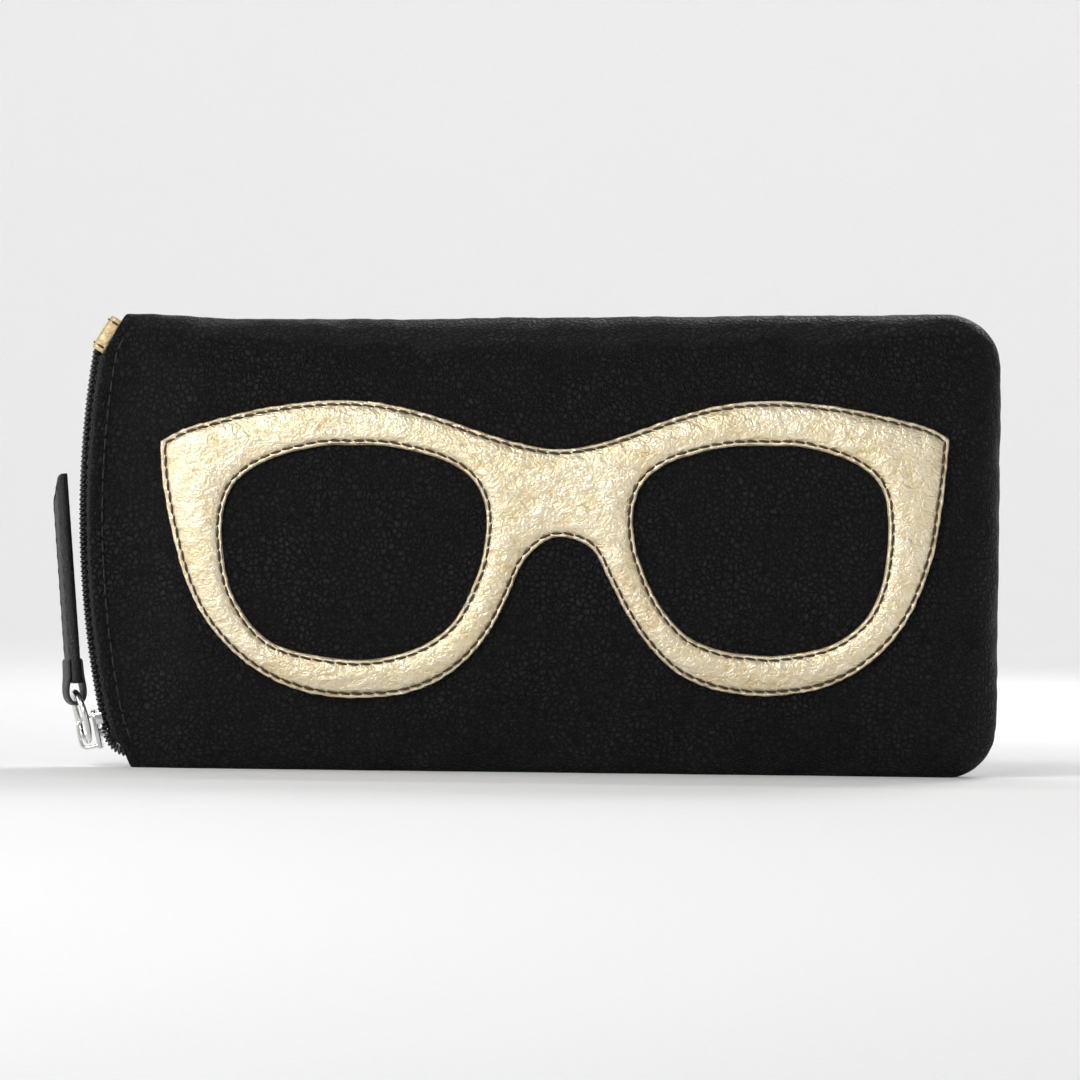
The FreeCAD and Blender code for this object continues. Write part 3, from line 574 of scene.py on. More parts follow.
def run_cloth():
    """Pressure-filled pillow with its seam and mouth held. Returns a displacement in mm for each side."""
    nu, nv = len(SIM_U), len(SIM_PHI)
    rest = {s: sim_points(s) for s in (-1, 1)}
    start = {s: sim_points(s, 0.955) for s in (-1, 1)}
    index, verts, pin = {}, [], []

    def at(s, i, j):
        shared = j in (0, nv - 1) or i == nu - 1
        key = (0 if shared else s, i, j)
        if key not in index:
            index[key] = len(verts)
            verts.append(start[s][i, j] * 0.001)
            if shared or i <= 1:
                pin.append(index[key])
        return index[key]

    faces = []
    for s in (-1, 1):
        for i in range(nu - 1):
            for j in range(nv - 1):
                q = (at(s, i, j), at(s, i + 1, j), at(s, i + 1, j + 1), at(s, i, j + 1))
                faces.append(q if s < 0 else q[::-1])
    for j in range(nv - 1):
        q = []
        for a in (at(-1, 0, j + 1), at(1, 0, j + 1), at(1, 0, j), at(-1, 0, j)):
            if a not in q:
                q.append(a)
        faces.append(tuple(q))
    me = bpy.data.meshes.new("sim_skin")
    me.from_pydata([tuple(v) for v in verts], [], faces)
    o = bpy.data.objects.new("sim_skin", me)
    bpy.context.scene.collection.objects.link(o)
    vg = o.vertex_groups.new(name="pin")
    vg.add(pin, 1.0, "REPLACE")
    mod = o.modifiers.new("Cloth", "CLOTH")
    s = mod.settings
    s.quality = 5
    s.mass = 0.25
    s.tension_stiffness = 12
    s.compression_stiffness = 8
    s.shear_stiffness = 4
    s.bending_stiffness = 0.4
    s.vertex_group_mass = "pin"
    s.use_pressure = True
    s.uniform_pressure_force = 4.0
    s.shrink_min = -0.012
    s.effector_weights.gravity = 0
    mod.collision_settings.use_collision = False
    mod.point_cache.frame_start, mod.point_cache.frame_end = 1, 20
    scene = bpy.context.scene
    for f in range(1, 21):
        scene.frame_set(f)
    dg = bpy.context.evaluated_depsgraph_get()
    ev = o.evaluated_get(dg).to_mesh()
    co = np.array([v.co for v in ev.vertices]) * 1000
    out = {}
    for side in (-1, 1):
        d = np.zeros((nu, nv, 3))
        for i in range(nu):
            for j in range(nv):
                d[i, j] = co[at(side, i, j)] - rest[side][i, j]
        fade = np.ones((nu, nv))
        fade[0] = fade[-1] = 0
        fade[1] = 0.35
        fade[:, 0] = fade[:, -1] = 0
        d *= fade[..., None]
        size = np.linalg.norm(d, axis=-1)
        big = max(np.percentile(size, 97), 1e-6)
        cap = 1.15
        k = min(1.0, cap / big)
        d *= k
        size = np.linalg.norm(d, axis=-1)
        d *= (np.minimum(size, cap * 1.25) / np.maximum(size, 1e-9))[..., None]
        out[side] = d
    bpy.data.objects.remove(o)
    scene.frame_set(1)
    return out


CLOTH = run_cloth()


def cubic(grid, a, n):
    """Catmull-Rom weights along one axis: index a (float array)."""
    i = np.clip(np.floor(a).astype(int), 0, n - 2)
    t = a - i
    idx = [np.clip(i + k, 0, n - 1) for k in (-1, 0, 1, 2)]
    w = [((-t + 2) * t - 1) * t / 2, (((3 * t - 5) * t) * t + 2) / 2, ((-3 * t + 4) * t + 1) * t / 2, ((t - 1) * t * t) / 2]
    return idx, w


def cloth_at(side, u, phi):
    g = CLOTH[side]
    a = np.interp(u, SIM_U, np.arange(len(SIM_U)))
    b = np.interp(phi, SIM_PHI, np.arange(len(SIM_PHI)))
    ia, wa = cubic(g, a, len(SIM_U))
    ib, wb = cubic(g, b, len(SIM_PHI))
    out = 0
    for i, p in zip(ia, wa):
        for j, q in zip(ib, wb):
            out = out + g[i, j] * (p * q)[..., None]
    return out


# ------------------------------------------------------------------ applique outline
BROW_LINE = [(-76.2, 64.5), (-71.3, 67.1), (-64.1, 69.2), (-56.9, 71.0), (-49.5, 72.2), (-42.1, 72.9), (-34.6, 72.6), (-27.3, 71.3), (-20.1, 69.3), (-13.0, 66.9), (-5.8, 64.9), (1.6, 63.8), (9.0, 64.8), (16.1, 67.1), (23.1, 69.7), (30.2, 72.0), (37.5, 73.4), (44.9, 73.8), (52.4, 73.3), (59.8, 72.3), (67.1, 70.8), (74.4, 69.0), (78.6, 66.8)]
LOWER_LINE = [(-76.2, 64.5), (-75.9, 58.8), (-74.7, 51.5), (-73.0, 44.2), (-70.8, 37.1), (-67.5, 30.4), (-62.8, 24.6), (-57.0, 19.9), (-50.3, 16.6), (-43.1, 14.9), (-35.6, 14.7), (-28.2, 15.5), (-21.2, 18.2), (-15.3, 22.7), (-10.8, 28.6), (-7.5, 35.3), (-4.4, 42.1), (1.3, 46.5), (8.3, 44.7), (12.1, 38.4), (15.6, 31.8), (19.9, 25.7), (25.3, 20.5), (32.0, 17.4), (39.4, 16.1), (46.8, 16.2), (54.2, 17.6), (60.9, 20.8), (66.6, 25.6), (71.0, 31.6), (74.0, 38.4), (76.1, 45.6), (77.2, 53.0), (78.1, 60.4), (78.6, 66.8)]
LENS_LEFT = [(-43.0, 64.1), (-38.7, 64.1), (-34.5, 64.2), (-30.3, 63.8), (-26.1, 63.0), (-22.0, 61.9), (-18.1, 60.2), (-14.8, 57.6), (-12.7, 53.9), (-12.0, 49.7), (-12.3, 45.4), (-13.0, 41.2), (-14.4, 37.2), (-16.1, 33.3), (-18.3, 29.7), (-21.4, 26.8), (-25.1, 24.6), (-29.1, 23.2), (-33.3, 22.3), (-37.5, 22.0), (-41.7, 22.3), (-45.9, 22.9), (-50.1, 23.8), (-54.0, 25.3), (-57.3, 28.0), (-59.9, 31.4), (-61.9, 35.1), (-63.1, 39.2), (-63.7, 43.4), (-64.0, 47.7), (-63.5, 51.9), (-62.0, 55.8), (-59.0, 58.8), (-55.3, 60.9), (-51.3, 62.4), (-47.2, 63.4)]
LENS_RIGHT = [(36.5, 64.8), (40.6, 65.0), (44.7, 65.0), (48.9, 65.0), (53.0, 64.2), (57.0, 63.1), (60.8, 61.4), (64.0, 58.9), (66.1, 55.3), (66.7, 51.2), (66.8, 47.1), (66.5, 43.0), (65.9, 38.9), (64.6, 34.9), (62.6, 31.3), (59.7, 28.4), (56.2, 26.2), (52.2, 24.9), (48.1, 24.2), (44.0, 23.7), (39.9, 24.0), (35.8, 24.4), (31.8, 25.5), (28.0, 27.2), (24.9, 30.0), (22.3, 33.2), (20.2, 36.8), (18.6, 40.6), (17.3, 44.5), (16.7, 48.6), (16.8, 52.8), (18.1, 56.7), (20.8, 59.7), (24.4, 61.8), (28.3, 63.1), (32.4, 64.2)]


def curve(points, closed, step):
    """Even samples on a Catmull-Rom curve through the points."""
    p = np.array(points, float)
    n = len(p)
    dense = []
    for i in range(n if closed else n - 1):
        if closed:
            a, b, c, d = p[i - 1], p[i], p[(i + 1) % n], p[(i + 2) % n]
        else:
            b, c = p[i], p[i + 1]
            a = p[i - 1] if i > 0 else 2 * b - c
            d = p[i + 2] if i + 2 < n else 2 * c - b
        for k in range(16):
            t = k / 16
            dense.append(0.5 * (2 * b + (c - a) * t + (2 * a - 5 * b + 4 * c - d) * t * t + (3 * b - a - 3 * c + d) * t ** 3))
    dense.append(p[0] if closed else p[-1])
    dense = np.array(dense)
    s = np.concatenate([[0], np.cumsum(np.linalg.norm(np.diff(dense, axis=0), axis=1))])
    m = max(4, int(round(s[-1] / step)))
    q = np.linspace(0, s[-1], m + 1)
    out = np.stack([np.interp(q, s, dense[:, 0]), np.interp(q, s, dense[:, 1])], -1)
    return out[:-1] if closed else out


def outline_loops(step):
    brow, lower = curve(BROW_LINE, False, step), curve(LOWER_LINE, False, step)
    outer = np.concatenate([brow, lower[::-1][1:-1]])
    return [outer, curve(LENS_LEFT, True, step), curve(LENS_RIGHT, True, step)]


LOOPS = outline_loops(0.7)


def inside(pts, loop):
    """Even-odd test of many points against one closed loop."""
    x, y = pts[:, 0], pts[:, 1]
    res = np.zeros(len(pts), bool)
    a, b = loop, np.roll(loop, -1, axis=0)
    for (x0, y0), (x1, y1) in zip(a, b):
        if y0 == y1:
            continue
        cond = (y0 > y) != (y1 > y)
        xi = (x1 - x0) * (y - y0) / (y1 - y0) + x0
        res ^= cond & (x < xi)
    return res


def in_band(pts):
    return inside(pts, LOOPS[0]) & ~inside(pts, LOOPS[1]) & ~inside(pts, LOOPS[2])


FINE = outline_loops(0.25)
edge_tree = KDTree(sum(len(l) for l in FINE))
k = 0
for loop in FINE:
    for q in loop:
        edge_tree.insert((q[0], q[1], 0), k)
        k += 1
edge_tree.balance()


def edge_distance(pts):
    return np.array([edge_tree.find((p[0], p[1], 0))[2] for p in pts])


# ------------------------------------------------------------------ relief of the leather
def fbm(x, y, z, scale, seed):
    return noise.fractal(Vector((x / scale + seed, y / scale + seed * 1.7, z / scale - seed)), 1.0, 2.0, 3, noise_basis="PERLIN_ORIGINAL")


def ridge(x, z, x0, z0, angle, length, width, height):
    """A soft crease line."""
    c, s = math.cos(angle), math.sin(angle)
    a, b = (x - x0) * c + (z - z0) * s, -(x - x0) * s + (z - z0) * c
    b = b + 0.02 * a * a / max(length, 1) * 3
    return height * np.exp(-(a / length) ** 2) * np.exp(-(b / width) ** 2)


def relief(p, side):
    """Outward offset in mm for points p of one wall."""
    x, y, z = p[..., 0], p[..., 1], p[..., 2]
    flat = p.reshape(-1, 3)
    low = np.array([fbm(a[0], side * 20, a[2], 34.0, 3.1) for a in flat]).reshape(x.shape)
    mid = np.array([fbm(a[0] * 0.8, side * 9, a[2] * 1.3, 13.0, 7.7) for a in flat]).reshape(x.shape)
    wall = smooth(np.abs(y) / 5.0)
    e = wall * (0.42 * low + 0.13 * mid)
    # the seam: a groove with small gathers beside it
    near = np.abs(y)
    along = np.where(np.abs(x - 89) < 12, z, x)
    gather = np.array([noise.noise(Vector((a / 2.4, side * 3.0, 0.5))) for a in along.ravel()]).reshape(x.shape)
    e -= 0.5 * np.exp(-(near / 0.62) ** 2)
    e += 0.16 * gather * np.exp(-(near / 3.2) ** 2) * smooth(near / 1.2)
    # the turned edge at the mouth: ridge, sewn groove
    m = x - mouth_x(z)
    e -= 0.22 * np.exp(-((m - 2.6) / 0.42) ** 2) * smooth(near / 3)
    e += 0.12 * np.exp(-((m - 1.3) / 0.8) ** 2) * smooth(near / 3)
    # drag lines running out of the mouth
    pull = np.array([noise.noise(Vector((a[0] / 26.0, side * 5.0, a[2] / 5.5))) for a in flat]).reshape(x.shape)
    e += 0.30 * pull * np.exp(-((m - 10) / 11) ** 2) * wall
    if side < 0:
        pts = flat[:, [0, 2]]
        dist = edge_distance(pts).reshape(x.shape)
        lens = (inside(pts, LOOPS[1]) | inside(pts, LOOPS[2])).reshape(x.shape)
        e -= wall * 0.34 * np.exp(-(dist / 1.25) ** 2)
        e += np.where(lens, 0.6 * smooth(dist / 15), 0.18 * np.exp(-((dist - 5) / 4) ** 2)) * wall
        e += wall * ridge(x, z, -70, 79, -0.25, 13, 2.4, 0.3)
        e += wall * ridge(x, z, -60, 82, 0.1, 16, 2.2, -0.22)
    else:
        e += wall * ridge(x, z, -71, 25, 1.25, 12, 1.6, 0.26)
        e += wall * ridge(x, z, -76, 27, 1.35, 15, 1.5, -0.26)
        e += wall * ridge(x, z, -66, 31, 0.75, 10, 1.3, 0.2)
        e += wall * ridge(x, z, -60, 36, 0.4, 14, 2.0, -0.16)
        e += wall * 0.35 * np.exp(-(((x - 12) / 50) ** 2 + ((z - 52) / 22) ** 2))
    return e


def skin_points(x, phi, side, d):
    """Outer skin with its padding and relief, moved in by depth d. x may run under the lip."""
    p0 = P(x, phi, 0.0, side)
    n = p0 - P(x, phi, 1.0, side)
    z = p0[..., 2]
    move = cloth_at(side, np.clip(u_of(x, z), 0, 1), phi)
    e = relief(p0, side)
    p = p0 + move + n * (e - d)[..., None]
    floor = np.where(np.asarray(d) < 0.4, 0.0, 0.35)
    p[..., 2] = np.maximum(p[..., 2], floor)
    return p


def close_layers(outer, inner, lip, keep=None, rim=None):
    """One closed mesh from an outer and inner lattice; lip: lattices between them at column 0.
    keep(i, j) says which cells exist; rim: lists of points for each hole-boundary vertex from outer to inner."""
    nu, nv = outer.shape[:2]
    V, F = [], []

    def put(a):
        b = len(V)
        V.extend(a.reshape(-1, 3).tolist())
        return b

    bo, bi = put(outer), put(inner)
    bl = [put(l) for l in lip]
    O = lambda i, j: bo + i * nv + j
    I = lambda i, j: bi + i * nv + j
    for i in range(nu - 1):
        for j in range(nv - 1):
            if keep is None or keep(i, j):
                F.append((O(i, j), O(i + 1, j), O(i + 1, j + 1), O(i, j + 1)))
                F.append((I(i, j + 1), I(i + 1, j + 1), I(i + 1, j), I(i, j)))
        F.append((O(i, 0), I(i, 0), I(i + 1, 0), O(i + 1, 0)))
        F.append((O(i, nv - 1), O(i + 1, nv - 1), I(i + 1, nv - 1), I(i, nv - 1)))
    for j in range(nv - 1):
        F.append((O(nu - 1, j), I(nu - 1, j), I(nu - 1, j + 1), O(nu - 1, j + 1)))
        chain = [bo + j] + [b + j for b in bl] + [bi + j]
        nxt = [bo + j + 1] + [b + j + 1 for b in bl] + [bi + j + 1]
        for k in range(len(chain) - 1):
            F.append((chain[k], nxt[k], nxt[k + 1], chain[k + 1]))
    if bl:
        F.append(tuple([O(0, 0)] + [b for b in bl] + [I(0, 0)]))
        F.append(tuple([I(0, nv - 1)] + [b + nv - 1 for b in reversed(bl)] + [O(0, nv - 1)]))
    if rim:
        cells, shapes = rim
        m = len(cells)
        rings = [[O(i, j) for i, j in cells]]
        for s in shapes:
            b = len(V)
            V.extend(np.asarray(s).tolist())
            rings.append([b + a for a in range(m)])
        rings.append([I(i, j) for i, j in cells])
        for a, b in zip(rings[:-1], rings[1:]):
            for q in range(m):
                F.append((a[q], a[(q + 1) % m], b[(q + 1) % m], b[q]))
    return V, F


SKIN = 1.3
ROWS = np.concatenate([[0, .005, .012, .022, .036, .055, .082, .115], np.linspace(.15, PI - .15, 92), PI - np.array([.115, .082, .055, .036, .022, .012, .005, 0])])
LEFT = [0, .0035, .0075, .012, .018, .025] + list(np.linspace(.033, 1, 142))
TAIL = list(62 + (last_x(0.0) - 62) * np.sin(np.linspace(0, PI / 2, 23)[1:]) ** (2 / POW))


def lips(x, phi, side):
    """Lattice columns that turn round the mouth edge, from outer to inner."""
    out = []
    for a in np.linspace(0, PI, 8)[1:-1]:
        xc = (x[0] - LIP * math.sin(a))[None]
        d = np.full(xc.shape, SKIN / 2 * (1 - math.cos(a)))
        base = skin_points(x[:1], phi[:1], side, d)
        base[..., 0] += xc - x[:1]
        out.append(base[0])
    return out


def front_skin():
    rows = lambda a: np.broadcast_to(ROWS, (a.shape[0], len(ROWS)))
    x, phi = lattice(LEFT, TAIL, rows, -1)
    outer = skin_points(x, phi, -1, np.zeros_like(x))
    inner = skin_points(x, phi, -1, np.full_like(x, SKIN))
    return x, phi, outer, inner


fx, fphi, f_out, f_in = front_skin()
V, F = close_layers(f_out, f_in, lips(fx, fphi, -1))
front = piece("front_skin", V, F, M["front"])
finish(front, "case", ["front_panel"])

# back wall with the pocket window
SLOPE = math.tan(math.radians(0.64))
WIN_X0, WIN_X1, WIN_H, RIM = 5.3 - 66.9, 5.3 + 66.9, 4.56, 0.5


def win_z(x, sgn):
    return 16.2 + SLOPE * (np.clip(x, -70, 74) - 5.3) + sgn * (WIN_H + RIM)


LOWER = np.concatenate([[0, .006, .015, .028, .046, .07, .1, .14], np.linspace(.19, 1, 19)])
MIDDLE = np.linspace(0, 1, 8)[1:]
UPPER = np.concatenate([np.linspace(0, .93, 66)[1:], 1 - np.array([.057, .041, .028, .018, .011, .006, .0025, 0])])
J1, J2 = len(LOWER) - 1, len(LOWER) + len(MIDDLE) - 1


def back_rows(a):
    a = a if a.ndim > 1 else a[:, None]
    n = len(LOWER) + len(MIDDLE) + len(UPPER)
    if a.shape[1] != n:
        a = np.repeat(a[:, :1], n, axis=1)
    p1, p2 = phi_of(np.minimum(a, 74.0), win_z(a, -1)), phi_of(np.minimum(a, 74.0), win_z(a, 1))
    f = np.concatenate([LOWER, MIDDLE, UPPER])[None]
    k = np.arange(n)[None]
    return np.where(k <= J1, p1 * f, np.where(k <= J2, p1 + (p2 - p1) * f, p2 + (PI - p2) * f))


x0, x1 = WIN_X0 - RIM, WIN_X1 + RIM
B_LEFT = [(a, x0) for a in list([0, .02, .045, .07, .1, .14]) + list(np.linspace(.18, 1, 24))]
I1 = len(B_LEFT) - 1
mid_x = np.linspace(x0, 62, 118)[1:]
right_all = np.array(TAIL)
B_TAIL = list(right_all[right_all < x1 - 0.7]) + [x1] + list(right_all[right_all > x1 + 0.7])


def back_lattice():
    nu = len(B_LEFT) + len(mid_x) + len(B_TAIL)
    nv = len(LOWER) + len(MIDDLE) + len(UPPER)
    x = np.full((nu, nv), -90.0)
    n = len(B_LEFT)
    x[n:] = np.concatenate([mid_x, B_TAIL])[:, None]
    for _ in range(5):
        phi = back_rows(x)
        z = P(x, phi, 0.0, 1)[..., 2]
        xl = mouth_x(z) + LIP
        for i, (share, fix) in enumerate(B_LEFT):
            x[i] = xl[i] + (fix - xl[i]) * share
    return x, back_rows(x)


bx, bphi = back_lattice()
I2 = int(np.argmin(np.abs(bx[:, J1] - x1)))
b_out = skin_points(bx, bphi, 1, np.zeros_like(bx))
b_in = skin_points(bx, bphi, 1, np.full_like(bx, SKIN))
cells = [(i, J1) for i in range(I1, I2)] + [(I2, j) for j in range(J1, J2)] + [(i, J2) for i in range(I2, I1, -1)] + [(I1, j) for j in range(J2, J1, -1)]
shapes = []
for step, depth in ((0.0, 0.0), (0.30, 0.10), (0.5, 0.38), (0.5, 0.85), (0.28, 1.2)):
    if step == 0.0:
        continue
    ring = []
    for i, j in cells:
        up = (b_out[i, J2] - b_out[i, J1])
        up = up / np.linalg.norm(up)
        nrm = (b_out[i, j] - b_in[i, j])
        nrm = nrm / np.linalg.norm(nrm)
        v = np.zeros(3)
        c = 0.72 if (i in (I1, I2) and j in (J1, J2)) else 1.0
        if i == I1:
            v += np.array([1, 0, 0]) * c
        if i == I2:
            v -= np.array([1, 0, 0]) * c
        if j == J1:
            v += up * c
        if j == J2:
            v -= up * c
        ring.append(b_out[i, j] + v * step - nrm * depth)
    shapes.append(np.array(ring))
V, F = close_layers(b_out, b_in, lips(bx, bphi, 1), keep=lambda i, j: not (I1 <= i < I2 and J1 <= j < J2), rim=(cells, shapes))
back = piece("back_skin", V, F, M["back"])
finish(back, "case", ["back_panel"])


def skin_tree(grid, keep=None):
    nu, nv = grid.shape[:2]
    faces = [(i * nv + j, (i + 1) * nv + j, (i + 1) * nv + j + 1, i * nv + j + 1) for i in range(nu - 1) for j in range(nv - 1)]
    return BVHTree.FromPolygons(grid.reshape(-1, 3).tolist(), faces)


TREE = {-1: skin_tree(f_out), 1: skin_tree(b_out)}


def on_skin(x, z, side):
    """(point, outward normal) on the finished wall at x, z."""
    hit = TREE[side].ray_cast(Vector((x, side * 60, z)), Vector((0, -side, 0)))
    if hit[0] is None:
        return Vector((x, 0, z)), Vector((0, side, 0))
    n = hit[1]
    if n.y * side < 0:
        n = -n
    return hit[0], n


# ------------------------------------------------------------------ applique: a puffed, sewn-down leather cut-out
def build_applique():
    rim_pts = np.concatenate(LOOPS)
    pts = [tuple(p) for p in rim_pts]
    edges, k = [], 0
    for l in LOOPS:
        edges += [(k + i, k + (i + 1) % len(l)) for i in range(len(l))]
        k += len(l)
    extra = []
    for off, step in ((.10, .7), (.26, .7), (.48, .7), (.70, .7), (.92, .7), (1.14, .7), (1.4, .8), (1.8, .9)):
        for l in outline_loops(step):
            t = np.roll(l, -1, axis=0) - np.roll(l, 1, axis=0)
            t /= np.maximum(np.linalg.norm(t, axis=1), 1e-9)[:, None]
            for s in (-1, 1):
                q = l + s * off * np.stack([t[:, 1], -t[:, 0]], -1)
                ok = in_band(q)
                q = q[ok]
                dd = edge_distance(q)
                extra.append(q[np.abs(dd - off) < 0.03])
    gx, gz = np.meshgrid(np.arange(-80, 82, .85), np.arange(12, 76, .85))
    jit = np.random.default_rng(5).uniform(-.16, .16, (gx.size, 2))
    g = np.stack([gx.ravel(), gz.ravel()], -1) + jit
    g = g[in_band(g)]
    g = g[edge_distance(g) > 2.15]
    extra.append(g)
    allp = np.concatenate([np.array(pts)] + extra)
    res = delaunay_2d_cdt([Vector(p) for p in allp], edges, [], 0, 1e-5)
    v2 = np.array([[p[0], p[1]] for p in res[0]])
    tri = [t for t in res[2] if len(t) == 3]
    cen = np.array([v2[list(t)].mean(0) for t in tri])
    tri = [t for t, ok in zip(tri, in_band(cen)) if ok]
    used = sorted(set(i for t in tri for i in t))
    remap = {a: b for b, a in enumerate(used)}
    tri = [tuple(remap[i] for i in t) for t in tri]
    v2 = v2[used]
    dist = edge_distance(v2)
    on_rim = dist < 0.02
    h = np.interp(dist, [0, .05, .15, .3, .5, .68, .86, 1.02, 1.25, 1.8, 3.0, 5.0],
                  [.10, .42, .72, .92, .98, .86, .52, .62, .95, 1.16, 1.27, 1.33])
    crumple = np.array([noise.fractal(Vector((a * .42, 1.3, b * .42)), 1.0, 2.1, 3) for a, b in v2])
    fold = np.array([noise.noise(Vector((a * .16 + b * .10, 4.0, b * .5))) for a, b in v2])
    h = h + (0.10 * crumple + 0.06 * fold) * smooth((dist - .9) / 1.2)
    top, bottom = [], []
    for (a, b), hh in zip(v2, h):
        p, n = on_skin(a, b, -1)
        top.append(tuple(p + n * hh))
        bottom.append(tuple(p - n * 0.25))
    n = len(top)
    count = {}
    for t in tri:
        for a, b in ((t[0], t[1]), (t[1], t[2]), (t[2], t[0])):
            key = (min(a, b), max(a, b))
            count[key] = (count.get(key, (0,))[0] + 1, a, b)
    F = list(tri) + [(c + n, b + n, a + n) for a, b, c in tri]
    for key, (c, a, b) in count.items():
        if c == 1:
            F.append((b, a, a + n, b + n))
    return top + bottom, F


V, F = build_applique()
applique = piece("glasses_cutout", V, F, M["gold"])
finish(applique, "case", ["glasses_applique"])
V = F = None


def stitch_into(V, F, a, b, na, nb, r, lift, sink, slant=0.0, n=7):
    """One stitch between two surface points, arched up in the middle, its ends in the leather."""
    a, b, na, nb = Vector(a), Vector(b), Vector(na), Vector(nb)
    t = (b - a)
    side = t.normalized().cross(na).normalized()
    pts, rad = [], []
    for f, hgt, k in ((-.04, -sink, .55), (.06, 0.02, .85), (.25, lift * .8, 1), (.5, lift, 1.08), (.75, lift * .8, 1), (.94, 0.02, .85), (1.04, -sink, .55)):
        q = a + t * f + (na.lerp(nb, f)).normalized() * hgt + side * (slant * (f - .5))
        pts.append(q)
        rad.append(r * k)
    tube_into(V, F, pts, rad, n)


def line_lengths(pts):
    return np.concatenate([[0], np.cumsum(np.linalg.norm(np.diff(pts, axis=0), axis=1))])


def applique_stitches():
    V, F = [], []
    gold = BVHTree.FromPolygons([tuple(v.co * 1000) for v in applique.data.vertices], [tuple(p.vertices) for p in applique.data.polygons])
    for l in FINE:
        t = np.roll(l, -1, axis=0) - np.roll(l, 1, axis=0)
        t /= np.maximum(np.linalg.norm(t, axis=1), 1e-9)[:, None]
        best = None
        for s in (-1, 1):
            q = l + s * 0.86 * np.stack([t[:, 1], -t[:, 0]], -1)
            ok = in_band(q)
            if best is None or ok.sum() > best[1].sum():
                best = (q, ok)
        q, ok = best
        q = q[ok]
        q = q[edge_distance(q) > 0.82]
        q = np.concatenate([q, q[:1]])
        s = line_lengths(q)
        m = int(round(s[-1] / 2.35))
        for i in range(m):
            ends = []
            for f in (i + .03, i + .93):
                w = s[-1] * f / m
                x, z = np.interp(w, s, q[:, 0]), np.interp(w, s, q[:, 1])
                hit = gold.ray_cast(Vector((x, -60, z)), Vector((0, 1, 0)))
                if hit[0] is None:
                    break
                nn = hit[1] if hit[1].y < 0 else -hit[1]
                _, ns = on_skin(x, z, -1)
                ends.append((hit[0], ns))
            if len(ends) == 2 and (ends[0][0] - ends[1][0]).length < 3.2:
                stitch_into(V, F, ends[0][0], ends[1][0], ends[0][1], ends[1][1], 0.25, 0.20, 0.22, 0.26)
    return V, F


V, F = applique_stitches()
o = piece("cutout_stitches", V, F, M["brown"])
finish(o, "case", ())


def skin_line(points, side, pitch, share, r, lift, name, mat, slant=0.0):
    V, F = [], []
    for q in points:
        q = np.array(q, float)
        s = line_lengths(q)
        m = int(round(s[-1] / pitch))
        for i in range(m):
            ends = []
            for f in (i + (1 - share) / 2, i + (1 + share) / 2):
                w = s[-1] * f / m
                ends.append(on_skin(np.interp(w, s, q[:, 0]), np.interp(w, s, q[:, 1]), side))
            stitch_into(V, F, ends[0][0], ends[1][0], ends[0][1], ends[1][1], r, lift, 0.2, slant)
    o = piece(name, V, F, mat)
    return finish(o, "case", ())


zs = np.linspace(5.5, 85, 90)
for side, word in ((-1, "front"), (1, "back")):
    skin_line([[(mouth_x(z) + 2.6, z) for z in zs]], side, 2.9, 0.78, 0.19, 0.10, "mouth_stitches_" + word, M["black_thread"])
wx = np.linspace(WIN_X0 - 0.6, WIN_X1 + 1.6, 60)
frame_lines = [[(a, float(win_z(a, -1)) - 1.15) for a in wx], [(a, float(win_z(a, 1)) + 1.15) for a in wx],
               [(WIN_X1 + 1.7, float(win_z(WIN_X1, -1)) - 1.0), (WIN_X1 + 1.7, float(win_z(WIN_X1, 1)) + 1.0)],
               [(WIN_X0 - 1.7, float(win_z(WIN_X0, -1)) - 1.0), (WIN_X0 - 1.7, float(win_z(WIN_X0, 1)) + 1.0)]]
skin_line(frame_lines, 1, 2.7, 0.8, 0.19, 0.12, "window_stitches", M["black_thread"])


# ------------------------------------------------------------------ foam, linings, pocket bag, divider
def layer_piece(name, side, d0, d1, mat, mouth_in, x_right=None, z_range=None, x_range=None, bow=0.0):
    """A closed board or sheet between two depths of the wall, its mouth edge softened by one lip row."""
    if x_range is None:
        share = list(np.linspace(0, 1, 46))
        tail = list(62 + (last_x(0.0) - 62) * np.sin(np.linspace(0, PI / 2, 10)[1:]) ** (2 / POW))
    rows = np.linspace(0, PI, 34)
    if x_range is None:
        x, phi = lattice(share, tail, lambda a: np.broadcast_to(rows, (a.shape[0], len(rows))), side)
        x = x + (mouth_in * (1 - smooth((x + 92) / 30)))
    else:
        xs = np.linspace(x_range[0], x_range[1], 44)
        z = np.linspace(z_range[0], z_range[1], 30)
        x = np.repeat(xs[:, None], len(z), axis=1)
        phi = phi_of(x, np.broadcast_to(z, x.shape))
    a, b = d0(x), d1(x)
    quilt = 0.05 * np.sin(x / 3.1) * np.sin(phi * 14)
    outer = P(x, phi, a + np.abs(quilt), side)
    inner = P(x, phi, b - np.abs(quilt), side)
    for g in (outer, inner):
        g[..., 1] = side * np.maximum(np.abs(g[..., 1]), 0.12)
    mid = (outer + inner) / 2
    if x_range is None:
        soft = mid[0] - np.array([0.25, 0, 0])
        V, F = close_layers(outer, inner, [soft])
    else:
        soft = mid[0] - np.array([0.15, 0, 0])
        V, F = close_layers(outer, inner, [soft])
    return piece(name, V, F, mat)


